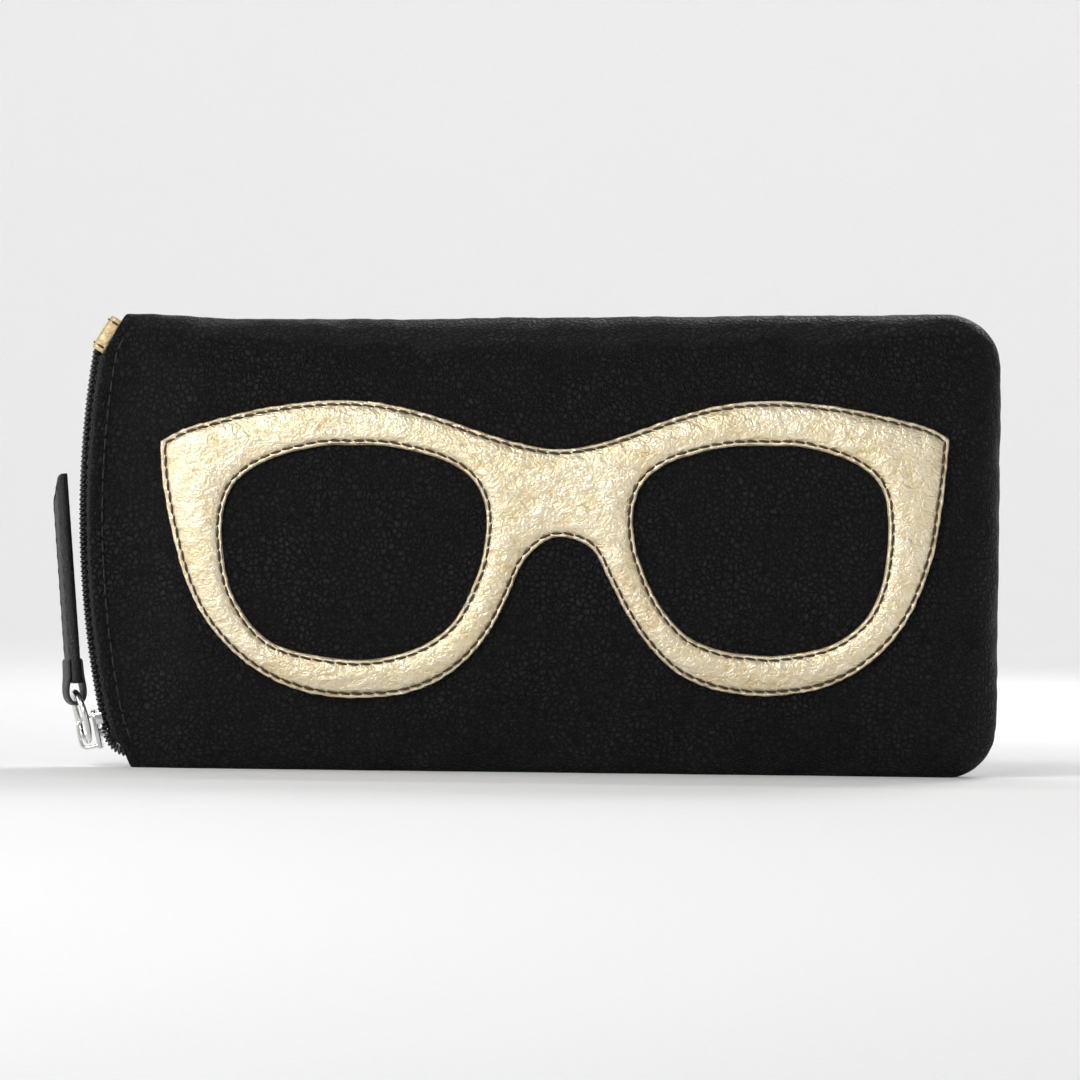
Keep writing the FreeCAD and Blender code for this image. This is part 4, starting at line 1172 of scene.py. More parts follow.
const = lambda v: (lambda x: np.full_like(x, v))
o = layer_piece("front_foam_board", -1, const(1.42), lambda x: 1.22 + table(FRONT_FOAM, x), M["foam"], 6.0)
finish(o, "case", ["front_padding"])
o = layer_piece("back_foam_board", 1, lambda x: np.minimum(6.0, 1.42 + table(BACK_FOAM, x) * 0.7), lambda x: 1.22 + table(BACK_FOAM, x), M["foam"], 6.0)
finish(o, "case", ["back_padding"])
o = layer_piece("front_lining_cloth", -1, lambda x: 1.36 + table(FRONT_FOAM, x), lambda x: 1.96 + table(FRONT_FOAM, x), M["lining"], 2.2)
finish(o, "case", ["front_lining"])
o = layer_piece("back_lining_cloth", 1, lambda x: 1.36 + table(BACK_FOAM, x), lambda x: 1.96 + table(BACK_FOAM, x), M["lining"], 2.2)
finish(o, "case", ["back_lining"])
o = layer_piece("bag_cloth_outer", 1, const(1.40), const(1.75), M["bag"], 0, z_range=(26, 81), x_range=(-67.5, 74.5))
finish(o, "case", ["pocket_bag_outer"])
o = layer_piece("bag_cloth_inner", 1, const(5.42), const(5.8), M["bag"], 0, z_range=(8, 81), x_range=(-67.5, 74.5))
finish(o, "case", ["pocket_bag_inner"])


def build_divider():
    """A thin padded board with bound edges and a soft crown, standing between the compartments."""
    lo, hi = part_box("divider")
    x0, x1, z0, z1 = lo.x * 1000, hi.x * 1000, lo.z * 1000, hi.z * 1000
    yc, half = (lo.y + hi.y) * 500, (hi.y - lo.y) * 500
    r = 5.0
    xs = np.concatenate([x0 + np.array([0, .15, .45, .9, 1.5, 2.4]), np.linspace(x0 + 4, x1 - 4, 60), x1 - np.array([2.4, 1.5, .9, .45, .15, 0])])
    zs = np.concatenate([np.array([0, .15, .45, .9, 1.5, 2.4]), np.linspace(4, z1 - z0 - 4, 30), (z1 - z0) - np.array([2.4, 1.5, .9, .45, .15, 0])])
    V = np.zeros((2, len(xs), len(zs), 3))
    for k, sgn in ((0, -1), (1, 1)):
        for i, x in enumerate(xs):
            for j, w in enumerate(zs):
                dx, dz = min(x - x0, x1 - x), min(w, (z1 - z0) - w)
                px, pz = x, z0 + w
                if dx < r and dz < r:      # round the corners by pulling the grid in
                    q = math.hypot(r - dx, r - dz)
                    m = max(r - dx, r - dz)
                    kx = (r - dx) * (m / q if q > 0 else 1)
                    kz = (r - dz) * (m / q if q > 0 else 1)
                    px = x0 + r - kx if x < (x0 + x1) / 2 else x1 - r + kx
                    pz = z0 + r - kz if w < (z1 - z0) / 2 else z1 - r + kz
                    e = r - m
                else:
                    e = min(dx, dz)
                edge = np.interp(e, [0, .15, .45, .9, 1.5, 2.0, 2.4, 3.4, 8], [.12, .55, .86, .98, .95, .72, .62, .82, 1.0])
                quilt = 1 - 0.06 * (0.5 + 0.5 * math.cos(px / 5.2)) * (0.5 + 0.5 * math.cos(pz / 5.2))
                V[k, i, j] = (px, yc + sgn * half * edge * quilt, pz)
    V, F = close_layers(V[0], V[1], [])
    return V, F


V, F = build_divider()
o = piece("divider_board", V, F, M["divider"])
finish(o, "case", ["divider"])

# ------------------------------------------------------------------ end zip
ARC = Vector((107, 0, 52))
R = 200.0
LOW, HIGH, BEND = -14.25, 8.7, 6.0
BEND_AT = -13.15


def chain_at(s, r):
    """Point and outward direction on the chain; s is arc length from the bend upwards (mm), r the radius from the arc's centre."""
    if s >= 0:
        a = math.radians(BEND_AT) + s / R
        out = Vector((-math.cos(a), 0, math.sin(a)))
        return ARC + out * r, out
    a = math.radians(BEND_AT)
    out0 = Vector((-math.cos(a), 0, math.sin(a)))
    centre = ARC + out0 * (R - BEND)
    q = -s / BEND
    out = (Matrix.Rotation(-q, 3, "Y") @ out0)
    return centre + out * (r - R + BEND), out


S_TOP = math.radians(HIGH - BEND_AT) * R
S_LOW = -BEND * math.radians(66)
S_MID = math.radians(-2.0 - BEND_AT) * R
PITCH = 0.95


def coil_path(s0, s1, sgn, phase):
    pts = []
    n = 12
    i0, i1 = int(math.ceil(s0 / PITCH)), int(math.ceil(s1 / PITCH))
    for i in range(i0, i1):
        for k in range(n):
            q = 2 * PI * k / n
            s = (i + phase + k / n) * PITCH
            y = 0.98 + 1.14 * math.cos(q + PI)
            if y < 0.15:
                y = 0.15 + (y - 0.15) * 1.5
            r = 199.06 + 0.62 * math.sin(q)
            s += 0.16 * math.cos(q) * PITCH
            p, out = chain_at(s, r)
            y += 0.85 * float(smooth((1.4 - s) / 3.0))      # the halves part round the slider's post
            pts.append(Vector((p.x, sgn * y, p.z)))
    return pts


def coil_piece(name, s0, s1, sgn, phase):
    V, F = [], []
    tube_into(V, F, coil_path(s0, s1, sgn, phase), 0.25, 7)
    return piece(name, V, F, M["coil"])


def inner_half(z):
    """Half width inside the wall at the mouth, at height z."""
    x = float(mouth_x(z)) + 1.0
    low, high, t = section(np.array(x), 1.62)
    k = abs((z - (low + high) / 2) / ((high - low) / 2))
    return float(t * max(1 - min(k, 1) ** POW, 0) ** (1 / POW))


def tape_piece(name, s0, s1, sgn):
    """Half of the tape: flat under the coil, folded back under the leather's edge, with its own thickness."""
    ss = np.linspace(s0, s1, max(8, int((s1 - s0) / 1.1)))
    rows, weave = [], []
    th = 0.42
    for s in ss:
        p, out = chain_at(s, 198.15)
        z = p.z
        fold = max(min(4.6, inner_half(min(max(z, 3.0), 86.0)) - 0.12), 1.0)
        if s < 0:
            fold = min(fold, 2.6 + 0.1 * s)
        inner_run = 4.2 if s > 0 else 1.5
        prof_pts = [(1.15, 198.15)]
        y_in = min(1.15, fold * 0.5)
        for f in np.linspace(0, 1, 7):
            prof_pts.append((y_in + (fold - 0.45 - y_in) * f, 198.15 - 0.10 * math.sin(PI * f)))
        for q in (20, 45, 70, 90):
            qq = math.radians(q)
            prof_pts.append((fold - 0.45 + 0.45 * math.sin(qq), 198.15 - 0.45 * (1 - math.cos(qq))))
        for f in (0.3, 0.65, 1.0):
            prof_pts.append((fold + 0.02, 197.7 - inner_run * f))
        prof_pts = prof_pts[1:]
        ripple = 0.05 * noise.noise(Vector((s / 2.2, sgn * 2.0, 1.0)))
        line = []
        for y, r in prof_pts:
            pp, oo = chain_at(s, r + ripple)
            line.append(((pp.x, sgn * y, pp.z), y, s))
        rows.append(line)
    m = len(rows[0])
    front_pts = np.array([[a[0] for a in line] for line in rows])
    wv = np.array([[(a[1] + 198.15 * 0, a[2], 0) for a in line] for line in rows])
    lens = np.concatenate([np.zeros((len(rows), 1)), np.cumsum(np.linalg.norm(np.diff(front_pts, axis=1), axis=2), axis=1)], 1)
    wv[..., 0] = lens
    # thickness along the local normal
    du = np.gradient(front_pts, axis=0)
    dv = np.gradient(front_pts, axis=1)
    nn = np.cross(du, dv)
    nn /= np.maximum(np.linalg.norm(nn, axis=2), 1e-9)[..., None]
    if np.mean(nn[:, 0, 0]) > 0:
        nn = -nn
    back_pts = front_pts - nn * th
    V, F = close_layers(front_pts, back_pts, [])
    o = piece(name, V, F, M["tape"])
    set_weave(o, np.concatenate([wv.reshape(-1, 3), wv.reshape(-1, 3)]))
    return o


for sgn, word, phase in ((-1, "front", 0.0), (1, "back", 0.5)):
    for part, s0, s1 in (("lower", S_LOW, S_MID), ("upper", S_MID, S_TOP)):
        o = coil_piece("coil_%s_%s" % (word, part), s0, s1, sgn, phase)
        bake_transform(o)
        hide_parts("main_coil_" + word)
        o = tape_piece("tape_%s_%s" % (word, part), s0 if part == "upper" else S_LOW, s1, sgn)
        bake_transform(o)
        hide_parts("main_tape_" + word)

# small sewn dots beside the coil
for sgn, word in ((-1, "front"), (1, "back")):
    for part, s0, s1 in (("lower", 1.0, S_MID), ("upper", S_MID, S_TOP)):
        V, F = [], []
        i = math.ceil(s0 / (PITCH * 2))
        while (i + 1) * PITCH * 2 < s1:
            pts = []
            for f, h in ((0.1, -0.1), (0.25, 0.16), (0.5, 0.24), (0.75, 0.16), (0.9, -0.1)):
                p, out = chain_at((i + f) * PITCH * 2, 198.15 + h)
                pts.append((p.x, sgn * 2.62, p.z))
            tube_into(V, F, pts, [0.1, 0.15, 0.17, 0.15, 0.1], 6)
            i += 1
        o = piece("tape_thread_%s_%s" % (word, part), V, F, M["black_thread"])
        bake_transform(o)

# crimped stops keep their CAD shape
NODES["main_zip_stops"].data.materials.clear()
NODES["main_zip_stops"].data.materials.append(M["stop"])
NODES["pocket_zip_stops"].data.materials.clear()
NODES["pocket_zip_stops"].data.materials.append(M["stop"])

# ------------------------------------------------------------------ gold end tab
END_UP = Vector((0.52, 0, 0.854)).normalized()
END_OUT = Vector((-END_UP.z, 0, END_UP.x))
END_M = placing((-90.75, 0, 82.4), END_UP, (0, 1, 0), END_OUT)


def end_tab():
    path = [(-4.42, -2.1), (-4.45, -1.2), (-4.42, -0.5), (-4.1, 0.0), (-3.5, 0.2), (-2.2, 0.26), (-0.8, 0.3), (0.8, 0.3), (2.2, 0.26), (3.5, 0.2), (4.1, 0.0), (4.42, -0.5), (4.45, -1.2), (4.42, -2.1)]
    path = chaikin(path, 2, closed=False)
    xs = 0.7 + 7.4 * np.array([0, .012, .04, .09, .12, .15, .2, .3, .4, .5, .6, .7, .8, .85, .88, .91, .96, .988, 1])
    outer, inner = [], []
    for x in xs:
        e = min(x - 0.7, 8.1 - x)
        edge = float(np.interp(e, [0, .09, .3, .6, .85, 1.0, 1.4, 3], [.30, .62, .86, .90, .62, .68, .9, 1.0]))
        lo, li = [], []
        kx = 0.86 - 0.30 * (x - 0.7) / 7.4
        for i, (y, z) in enumerate(path):
            y = y * kx
            a, b = path[max(i - 1, 0)], path[min(i + 1, len(path) - 1)]
            t = Vector((b[0] - a[0], b[1] - a[1])).normalized()
            n = Vector((-t.y, t.x))
            q = min(i, len(path) - 1 - i) / 6
            k = edge * min(1, 0.4 + q)
            bumpy = 0.05 * noise.noise(Vector((x * .8, y * .8, z * .8)))
            lo.append(tuple(END_M @ Vector((x, y + n.x * (0.45 * k + bumpy) , z - 0.3 + n.y * (0.45 * k + bumpy)))))
            li.append(tuple(END_M @ Vector((x, y - n.x * 0.35 * k, z - 0.3 - n.y * 0.35 * k))))
        outer.append(lo)
        inner.append(li)
    return close_layers(np.array(outer), np.array(inner), [])


V, F = end_tab()
# the end tab takes the darker gold copy: painted shade
o = piece("end_tab", V, F, M["tab_gold_painted_shade"])
finish(o, "case", ["zip_end_tab"])
V, F = [], []
for x in (1.75, 7.05):
    kx = 0.86 - 0.30 * (x - 0.7) / 7.4
    for i in range(3):
        y = (-3.0 + i * 2.3) * kx
        tube_into(V, F, [END_M @ Vector((x, y + f * 1.4 * kx, z)) for f, z in ((-.04, .05), (.1, .3), (.5, .44), (.9, .3), (1.04, .05))], [.12, .2, .22, .2, .12], 7)
    for s in (-1, 1):
        tube_into(V, F, [END_M @ Vector((x, s * (yy - 4.45 + 4.45 * kx), z)) for yy, z in ((4.55, -.45), (4.85, -.7), (4.92, -1.2), (4.85, -1.7), (4.6, -1.95))], [.12, .2, .22, .2, .12], 7)
o = piece("end_tab_stitches", V, F, M["brown"])
finish(o, "case", ())


# ------------------------------------------------------------------ end zip slider, ring, pull
def arc_matrix(deg):
    a = math.radians(deg)
    out = Vector((-math.cos(a), 0, math.sin(a)))
    up = Vector((math.sin(a), 0, math.cos(a)))
    return placing(ARC + out * R, up, (0, 1, 0), out)


SLIDER = arc_matrix(-12.83)
shield = chaikin([(-4.0, -1.4), (-3.8, -2.8), (-1.8, -3.05), (1.2, -3.0), (3.3, -2.8), (4.0, -1.9), (4.05, 0.0), (4.0, 1.9), (3.3, 2.8), (1.2, 3.0), (-1.8, 3.05), (-3.8, 2.8), (-4.0, 1.4), (-3.3, 0.0)], 3)
V, F = [], []
prism_into(V, F, shield, 0.4, 1.25, 0.26, SLIDER, crown=0.12)
prism_into(V, F, chaikin([(-1.6, -2.2), (0.8, -2.3), (3.1, -1.7), (3.1, 1.7), (0.8, 2.3), (-1.6, 2.2)], 3), -3.2, -2.4, 0.2, SLIDER)
prism_into(V, F, chaikin([(-1.6, -.35), (-.3, -.25), (.1, 0), (-.3, .25), (-1.6, .35)], 2), -2.9, 0.9, 0.1, SLIDER)
# side flanges that hold the coil
for s in (-1, 1):
    prism_into(V, F, chaikin([(0.9, s * 2.98), (0.9, s * 2.58), (3.2, s * 2.5), (3.3, s * 2.9)], 2), -0.9, 0.7, 0.14, SLIDER)
o = piece("slider_body", V, F, M["nickel"])
finish(o, "main_slider", ["main_slider_body"])


def band_into(V, F, path, X, width, thick, n_round=3, y0=0.0):
    """A strap of metal or leather along a path in the local xz plane, wide along local y, with rounded rims."""
    k = len(path)
    w = width if hasattr(width, "__len__") else [width] * k
    t = thick if hasattr(thick, "__len__") else [thick] * k
    base = len(V)
    ring = []
    for q in range(0, 360, 360 // (4 * (n_round + 1))):
        a = math.radians(q)
        ring.append((abs(math.cos(a)) ** 0.42 * (1 if math.cos(a) >= 0 else -1), abs(math.sin(a)) ** 0.75 * (1 if math.sin(a) >= 0 else -1)))
    m = len(ring)
    for i in range(k):
        a, b = path[max(i - 1, 0)], path[min(i + 1, k - 1)]
        d = Vector((b[0] - a[0], 0, b[1] - a[1])).normalized()
        nrm = Vector((-d.z, 0, d.x))
        for cy, cz in ring:
            p = Vector((path[i][0], 0, path[i][1])) + nrm * (cz * t[i] / 2) + Vector((0, y0 + cy * w[i] / 2, 0))
            V.append(tuple(X @ p))
    for i in range(k - 1):
        for j in range(m):
            F.append((base + i * m + j, base + i * m + (j + 1) % m, base + (i + 1) * m + (j + 1) % m, base + (i + 1) * m + j))
    F.append(tuple(base + j for j in reversed(range(m))))
    F.append(tuple(base + (k - 1) * m + j for j in range(m)))


V, F = [], []
arch = chaikin([(-3.2, 0.9), (-3.25, 2.4), (-3.15, 4.2), (-2.0, 4.62), (0.3, 4.66), (2.1, 4.3), (2.85, 2.6), (2.8, 0.9)], 3, closed=False)
band_into(V, F, arch, SLIDER, 1.6, 0.74)
o = piece("slider_bail", V, F, M["nickel"])
finish(o, "main_slider", ["main_slider_crown"])

for node in ("main_pull_ring", "pocket_pull_ring"):
    NODES[node].data.materials.clear()
    NODES[node].data.materials.append(M["nickel"])
    for p in NODES[node].data.polygons:
        p.use_smooth = True

RING_TURN = math.radians(14.0)
ring_low = SLIDER @ Vector((-1.9, 0, 3.1))
ring_dir = Vector((-0.28, 0, 0.96)).normalized()
ring_top = ring_low + ring_dir * 10.0
tab_dir = Vector((-0.082, 0, 0.997)).normalized()
TAB_TURN = math.radians(16.0)
tab_out = Vector((-math.cos(TAB_TURN), -math.sin(TAB_TURN), 0))
tab_out = (tab_out - tab_dir * tab_out.dot(tab_dir)).normalized()
TAB = placing(ring_top, tab_dir, tab_out.cross(tab_dir), tab_out)


def strap_layer(name, X, x0, length, wide, z_face, direction, mat, slant, seed, thick=1.1, taper=0.0, bow=0.0, groove=True, wrap=0.0):
    """One layer of a pull: face at z_face, growing along direction (+1/-1) by thick. The tip is cut on a slant."""
    ns, nt = 96, 15
    s_list = np.concatenate([np.array([0, .002, .006, .012, .02, .03]), np.linspace(.042, .958, ns), 1 - np.array([.03, .02, .012, .006, .002, 0])])
    e_list = np.array([0, .02, .05, .09, .14, .2, .28, .38, .5, .62, .72, .8, .86, .91, .95, .98, 1.0])
    half = wide / 2
    top, low = [], []
    rc = 1.5
    for s in s_list:
        lt, ll = [], []
        for q in e_list:
            v = (q * 2 - 1)
            xe = length - slant * (0.5 + 0.5 * v)
            x = x0 + (xe - x0) * s
            k = min(max((x - x0) / rc, 0), 1)
            hw = half - 0.45 * (1 - math.sqrt(max(1 - (1 - k) ** 2, 0))) - taper * ((x - x0) / (length - x0))
            tip = min(max((xe - x) / 0.9, 0), 1)
            hw -= 0.25 * (1 - math.sqrt(max(1 - (1 - tip) ** 2, 0)))
            y = v * hw
            e = min(hw - abs(y), x - x0 + 0.0, (xe - x) * math.cos(math.atan2(slant, wide)))
            e = max(e, 0)
            g = float(np.interp(e, [0, .08, .22, .42, .62, .82, 1.0, 1.3, 2.2], [.30, .62, .88, .97, .90, .72, .78, .95, 1.03] if groove else [.30, .62, .88, .97, 1, 1, 1, 1.01, 1.02]))
            bump = 0.045 * noise.noise(Vector((x * .55 + seed, y * .55, seed)))
            bend = bow * ((x - x0) / (length - x0)) ** 2
            lt.append(tuple(X @ Vector((x, y, z_face + bend + direction * (thick * g + bump)))))
            ll.append(tuple(X @ Vector((x, y, z_face + bend + direction * (0.02 - wrap * (1 - float(smooth((e - 0.28) / 0.14))))))))
        top.append(lt)
        low.append(ll)
    V, F = close_layers(np.array(top), np.array(low), [])
    return piece(name, V, F, mat)


def strap_stitches(name, X, x0, length, wide, z, direction, mat, slant, pitch, r, share=0.72, inset=0.95, body=None, taper=0.0, bow=0.0, lift=0.12, tip=True):
    V, F = [], []
    half = wide / 2 - inset
    lines = []
    for s in (-1, 1):
        xe = length - slant * (0.5 + 0.5 * s * (half / (wide / 2))) - 1.0
        lines.append([(x0, s * half), (xe, s * (half - taper))])
    if tip:
        lines.append([(lines[0][1][0], lines[0][1][1]), (lines[1][1][0], lines[1][1][1])])
    for a, b in lines:
        L = math.hypot(b[0] - a[0], b[1] - a[1])
        m = max(1, int(round(L / pitch)))
        for i in range(m):
            pts = []
            for f, h in ((.5 - share / 2 - .02, -.2), (.5 - share / 2 + .05, .0), (.5 - share / 4, lift * .8), (.5, lift), (.5 + share / 4, lift * .8), (.5 + share / 2 - .05, .0), (.5 + share / 2 + .02, -.2)):
                w = (i + f) / m
                x, y = a[0] + (b[0] - a[0]) * w, a[1] + (b[1] - a[1]) * w
                bend = bow * ((x - x0) / (length - x0)) ** 2
                pts.append(X @ Vector((x, y, z + bend + direction * h)))
            tube_into(V, F, pts, [r * .5, r * .85, r, r * 1.08, r, r * .85, r * .5], 7)
    o = piece(name, V, F, mat)
    return finish(o, body, ())


def loop_piece(name, X, mat, reach, wide, wide_end):
    """The leather that folds round the ring and runs onto both faces of the strap."""
    V, F = [], []
    a = [(reach, 1.12), (reach - .5, 1.24), (4.4, 1.28), (3.0, 1.36), (1.9, 1.55), (0.8, 1.74), (-.5, 1.74), (-1.55, 1.35), (-2.1, .75), (-2.3, 0.0)]
    path = a + [(x, -z) for x, z in reversed(a[:-1])]
    path = chaikin(path, 2, closed=False)
    widths = [wide + (wide_end - wide) * float(smooth((p[0] + 0.5) / (reach * 0.6))) for p in path]
    thick = [0.78 if p[0] < reach - 0.3 else 0.5 for p in path]
    band_into(V, F, path, X, widths, thick, 4)
    return piece(name, V, F, mat)


o = strap_layer("pull_black", TAB, 1.8, 43.4, 6.5, 0.0, 1, M["strap"], 5.2, 2.0, wrap=0.95)
finish(o, "main_pull", ["main_pull_tab_black"])
o = loop_piece("pull_loop", TAB, M["strap"], 6.6, 5.0, 6.4)
finish(o, "main_pull", ())
o = strap_layer("pull_gold", TAB, 2.5, 42.95, 5.62, 0.0, -1, M["pull_gold"], 4.8, 5.0)
finish(o, "main_pull", ["main_pull_tab_gold"])
strap_stitches("pull_stitches_black", TAB, 7.2, 43.4, 6.5, 0.88, 1, M["black_thread"], 5.2, 3.0, 0.2, body="main_pull")
strap_stitches("pull_stitches_gold", TAB, 7.2, 42.95, 5.62, -0.88, -1, M["cream"], 4.8, 3.0, 0.2, inset=0.8, body="main_pull")

# ------------------------------------------------------------------ back pocket zip
SL, LE = math.radians(0.64), math.radians(11.0)
PU = Vector((math.cos(SL), 0, math.sin(SL)))
PN = Vector((math.sin(SL) * math.sin(LE), math.cos(LE), -math.cos(SL) * math.sin(LE)))
PW = PN.cross(PU)
if PW.z > 0:
    PW = -PW
POCKET = placing((5.3, 8.0, 16.2), PU, PW, PN)
PS = -61.4
HALF_WIN = 66.9


def pocket_coil(name, u0, u1, sgn, phase):
    pts = []
    n = 12
    for i in range(int(math.ceil(u0 / PITCH)), int(math.ceil(u1 / PITCH))):
        for k in range(n):
            q = 2 * PI * k / n
            y = 0.98 + 1.14 * math.cos(q + PI)
            if y < 0.15:
                y = 0.15 + (y - 0.15) * 1.5
            u = (i + phase + k / n) * PITCH + 0.16 * math.cos(q) * PITCH
            y += 0.8 * float(smooth((-62.0 - u) / 2.2))
            pts.append(POCKET @ Vector((u, sgn * y, 1.0 + 0.5 * math.sin(q))))
    V, F = [], []
    tube_into(V, F, pts, 0.25, 7)
    return piece(name, V, F, M["coil"])


def pocket_tape(name, u0, u1, sgn):
    us = np.linspace(u0, u1, max(10, int((u1 - u0) / 1.2)))
    ws = np.array([1.05, 1.5, 1.95, 2.4, 2.9, 3.5, 4.2, 5.0, 5.6, 5.95])
    top = np.zeros((len(us), len(ws), 3))
    low = np.zeros_like(top)
    wv = np.zeros_like(top)
    for i, u in enumerate(us):
        for j, w in enumerate(ws):
            ripple = 0.05 * noise.noise(Vector((u / 3.0, w, sgn * 3.0)))
            edge = 0.12 if j in (0, len(ws) - 1) else 0.22
            top[i, j] = POCKET @ Vector((u, sgn * w, edge + ripple))
            low[i, j] = POCKET @ Vector((u, sgn * w, -edge + ripple))
            wv[i, j] = (w, u, 0)
    V, F = close_layers(top, low, [])
    o = piece(name, V, F, M["tape"])
    set_weave(o, np.concatenate([wv.reshape(-1, 3), wv.reshape(-1, 3)]))
    return o


for sgn, word, phase in ((-1, "upper", 0.0), (1, "lower", 0.5)):
    for part, u0, u1 in (("left", -HALF_WIN + 0.6, 0.0), ("right", 0.0, HALF_WIN - 0.6)):
        o = pocket_coil("pocket_coil_%s_%s" % (word, part), u0, u1, sgn, phase)
        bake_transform(o)
        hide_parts("pocket_coil_" + word)
        t0, t1 = (-69.0, 0.0) if part == "left" else (0.0, 69.0)
        o = pocket_tape("pocket_tape_%s_%s" % (word, part), t0, t1, sgn)
        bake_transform(o)
        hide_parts("pocket_tape_" + word)

V, F = [], []
shield2 = chaikin([(PS - 4.7, -1.0), (PS - 4.0, -2.5), (PS - 1.8, -3.15), (PS + 1.2, -3.1), (PS + 3.6, -2.9), (PS + 4.7, -1.7), (PS + 4.7, 1.7), (PS + 3.6, 2.9), (PS + 1.2, 3.1), (PS - 1.8, 3.15), (PS - 4.0, 2.5), (PS - 4.7, 1.0)], 3)
prism_into(V, F, shield2, 2.05, 2.75, 0.22, POCKET, crown=0.05)
dome = [(0, 2.2), (2.9, 2.2), (3.2, 2.45), (3.25, 2.8), (3.1, 3.15), (2.7, 3.4), (2.1, 3.55), (1.75, 3.5), (1.5, 3.42), (1.1, 3.5), (0.5, 3.6), (0, 3.62)]
revolve_into(V, F, dome, POCKET @ Matrix.Translation((PS - 1.8, 0, 0)), 48)
prism_into(V, F, chaikin([(PS - 3.0, -2.1), (PS - .6, -2.3), (PS + 1.8, -1.8), (PS + 1.8, 1.8), (PS - .6, 2.3), (PS - 3.0, 2.1)], 3), -1.5, -0.7, 0.2, POCKET)
prism_into(V, F, chaikin([(PS - 3.0, -.3), (PS - 1.9, -.22), (PS - 1.5, 0), (PS - 1.9, .22), (PS - 3.0, .3)], 2), -1.3, 2.4, 0.1, POCKET)
for s in (-1, 1):
    prism_into(V, F, chaikin([(PS + 1.0, s * 3.05), (PS + 1.0, s * 2.6), (PS + 3.4, s * 2.52), (PS + 3.5, s * 2.9)], 2), 0.75, 2.3, 0.14, POCKET)
o = piece("pocket_slider_head", V, F, M["nickel"])
finish(o, "pocket_slider", ["pocket_slider_body"])
V, F = [], []
arch = chaikin([(PS - .6, 2.6), (PS - .62, 4.4), (PS - .45, 6.3), (PS + .6, 6.8), (PS + 2.4, 6.85), (PS + 3.9, 6.5), (PS + 4.3, 4.6), (PS + 4.3, 2.6)], 3, closed=False)
band_into(V, F, arch, POCKET, 1.9, 0.74)
o = piece("pocket_slider_bail", V, F, M["nickel"])
finish(o, "pocket_slider", ["pocket_slider_crown"])

ring_at = Vector((PS + 1.7, 0, 5.15))
p_dir = Vector((math.cos(math.radians(28)), math.sin(math.radians(28)), 0.06)).normalized()
p_side = Vector((0, 0, 1)).cross(p_dir).normalized()
t_angle = math.radians(-28.0)
tab_root = ring_at + p_dir * 4.5 + (p_dir * math.cos(t_angle) + p_side * math.sin(t_angle)) * 4.5
t_dir = Vector((1.0, -0.028, 0.0)).normalized()
t_out = Vector((0, 0, 1))
t_side = t_out.cross(t_dir)
PTAB = POCKET @ placing(tab_root, t_dir, t_side, t_out)
o = strap_layer("pocket_pull_front", PTAB, 2.4, 42.4, 6.7, 0.0, 1, M["pull_gold"], 4.6, 9.0, bow=0.35)
finish(o, "pocket_pull", ["pocket_pull_tab_face"])
o = strap_layer("pocket_pull_rear", PTAB, 2.4, 42.4, 6.7, 0.0, -1, M["pull_gold"], 4.6, 11.0, thick=0.95, bow=0.35, groove=False)
finish(o, "pocket_pull", ["pocket_pull_tab_back"])
o = loop_piece("pocket_pull_loop", PTAB, M["pull_gold"], 6.9, 5.3, 6.75)
finish(o, "pocket_pull", ())
strap_stitches("pocket_pull_stitches", PTAB, 7.2, 42.4, 6.7, 0.88, 1, M["cream"], 4.6, 3.0, 0.24, share=0.8, body="pocket_pull", bow=0.35)

# frame parts hidden from the render get a finished material
for name, o in NODES.items():
    if o.hide_render:
        key = {"lining": "lining", "padding": "foam", "bag": "bag", "tape": "tape", "coil": "coil", "applique": "gold", "gold": "pull_gold",
               "face": "pull_gold", "back_panel": "back", "tab": "gold", "slider": "nickel", "divider": "divider"}
        found = [v for k_, v in key.items() if k_ in name]
        o.data.materials.clear()
        o.data.materials.append(M[found[0] if found else "front"])

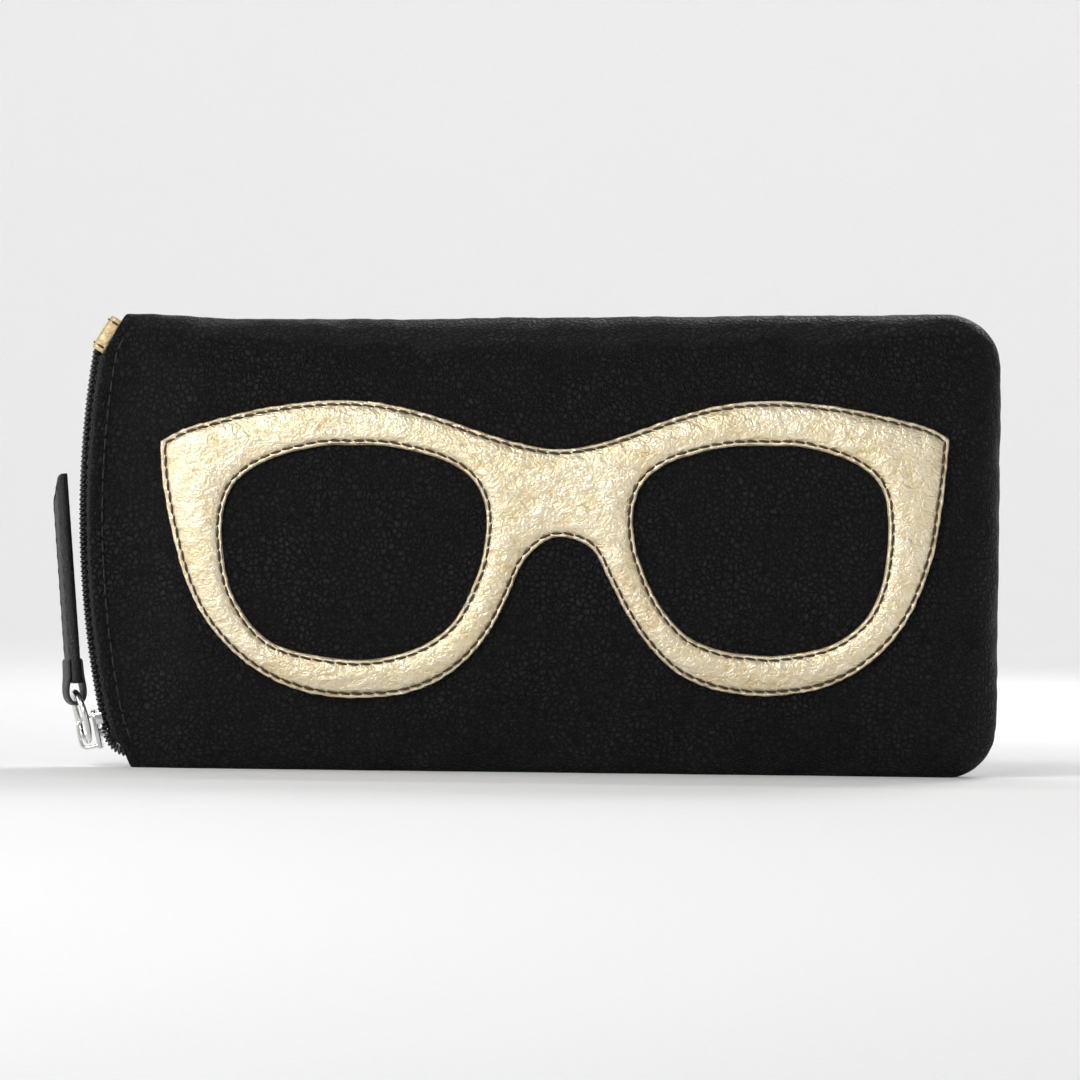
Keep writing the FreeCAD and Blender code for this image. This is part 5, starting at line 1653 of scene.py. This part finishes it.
# ------------------------------------------------------------------ floor, lights, camera
def stage():
    prof = [(0.001, 0.0), (0.3, 0.0), (0.8, 0.0), (1.3, 0.0), (1.6, 0.0)]
    prof += [(1.6 + 0.7 * math.sin(a), 0.7 * (1 - math.cos(a))) for a in np.linspace(0, PI / 2, 14)[1:]]
    prof += [(2.3, 1.2), (2.3, 2.0), (2.3, 2.8)]
    n, m = len(prof), 96
    V = [(r * math.cos(2 * PI * k / m), r * math.sin(2 * PI * k / m), z) for k in range(m) for r, z in prof]
    F = [(i * n + j, i * n + j + 1, ((i + 1) % m) * n + j + 1, ((i + 1) % m) * n + j) for i in range(m) for j in range(n - 1)]
    me = bpy.data.meshes.new("paper_sweep")
    me.from_pydata(V, [], F)
    for p in me.polygons:
        p.use_smooth = True
    g = Nodes("paper")
    nz = g.noise(900, 4.0, 0.6).outputs["Fac"]
    g.set("Base Color", g.ramp(nz, [(0.2, (0.86, 0.86, 0.86, 1)), (0.8, (0.9, 0.9, 0.9, 1))]))
    g.set("Roughness", 0.9)
    g.bsdf.inputs["Specular IOR Level"].default_value = 0.1
    g.set("Normal", g.bump(nz, 0.0001, 0.2))
    me.materials.append(g.m)
    o = bpy.data.objects.new("paper_sweep", me)
    bpy.context.scene.collection.objects.link(o)


stage()


def area(name, place, aim, size, watts, colour=(1, 1, 1)):
    d = bpy.data.lights.new(name, "AREA")
    d.shape = "RECTANGLE"
    d.size, d.size_y = size
    d.energy = watts
    d.color = colour
    o = bpy.data.objects.new(name, d)
    o.location = place
    o.rotation_euler = (Vector(aim) - Vector(place)).to_track_quat("-Z", "Y").to_euler()
    bpy.context.scene.collection.objects.link(o)


area("key", (-0.38, -0.50, 0.62), (-0.01, 0, 0.05), (0.28, 0.20), 2.55)
area("front", (-0.24, -0.95, 0.52), (0, 0, 0.05), (0.26, 0.16), 1.7)
area("fill", (0.75, -0.75, 0.30), (0, 0, 0.05), (0.4, 0.3), 0.45)
area("top", (0.05, 0.0, 0.95), (0, 0, 0.04), (0.9, 0.5), 0.5)
area("left", (-0.85, -0.85, 0.30), (0, 0, 0.05), (0.3, 0.3), 3.2)
area("rear", (0.35, 0.62, 0.55), (0, 0, 0.05), (0.3, 0.25), 3.0)
area("side", (-0.8, 0.05, 0.25), (-0.08, 0, 0.05), (0.4, 0.4), 1.0)
area("sweep", (0.0, 0.9, 1.6), (0, 2.2, 0.3), (1.8, 0.5), 20)
area("sweep_front", (0.0, -0.9, 1.9), (0, -2.2, 0.3), (1.8, 0.5), 0.7)

world = bpy.data.worlds.new("room")
bpy.context.scene.world = world
world.use_nodes = True
bg = world.node_tree.nodes.get("Background") or world.node_tree.nodes.new("ShaderNodeBackground")
bg.inputs["Color"].default_value = (1, 1, 1, 1)
bg.inputs["Strength"].default_value = 0.05
bpy.context.scene.view_settings.view_transform = "Standard"

cam = bpy.data.cameras.new("camera")
cam.lens = 200
cam.sensor_width = 36
cam.clip_start = 0.05
co = bpy.data.objects.new("camera", cam)
co.location = (-0.0015, -1.19, 0.046)
co.rotation_euler = (Matrix.Rotation(PI / 2, 3, "X") @ Matrix.Rotation(0.0125, 3, "Z")).to_euler()
bpy.context.scene.collection.objects.link(co)
bpy.context.scene.camera = co
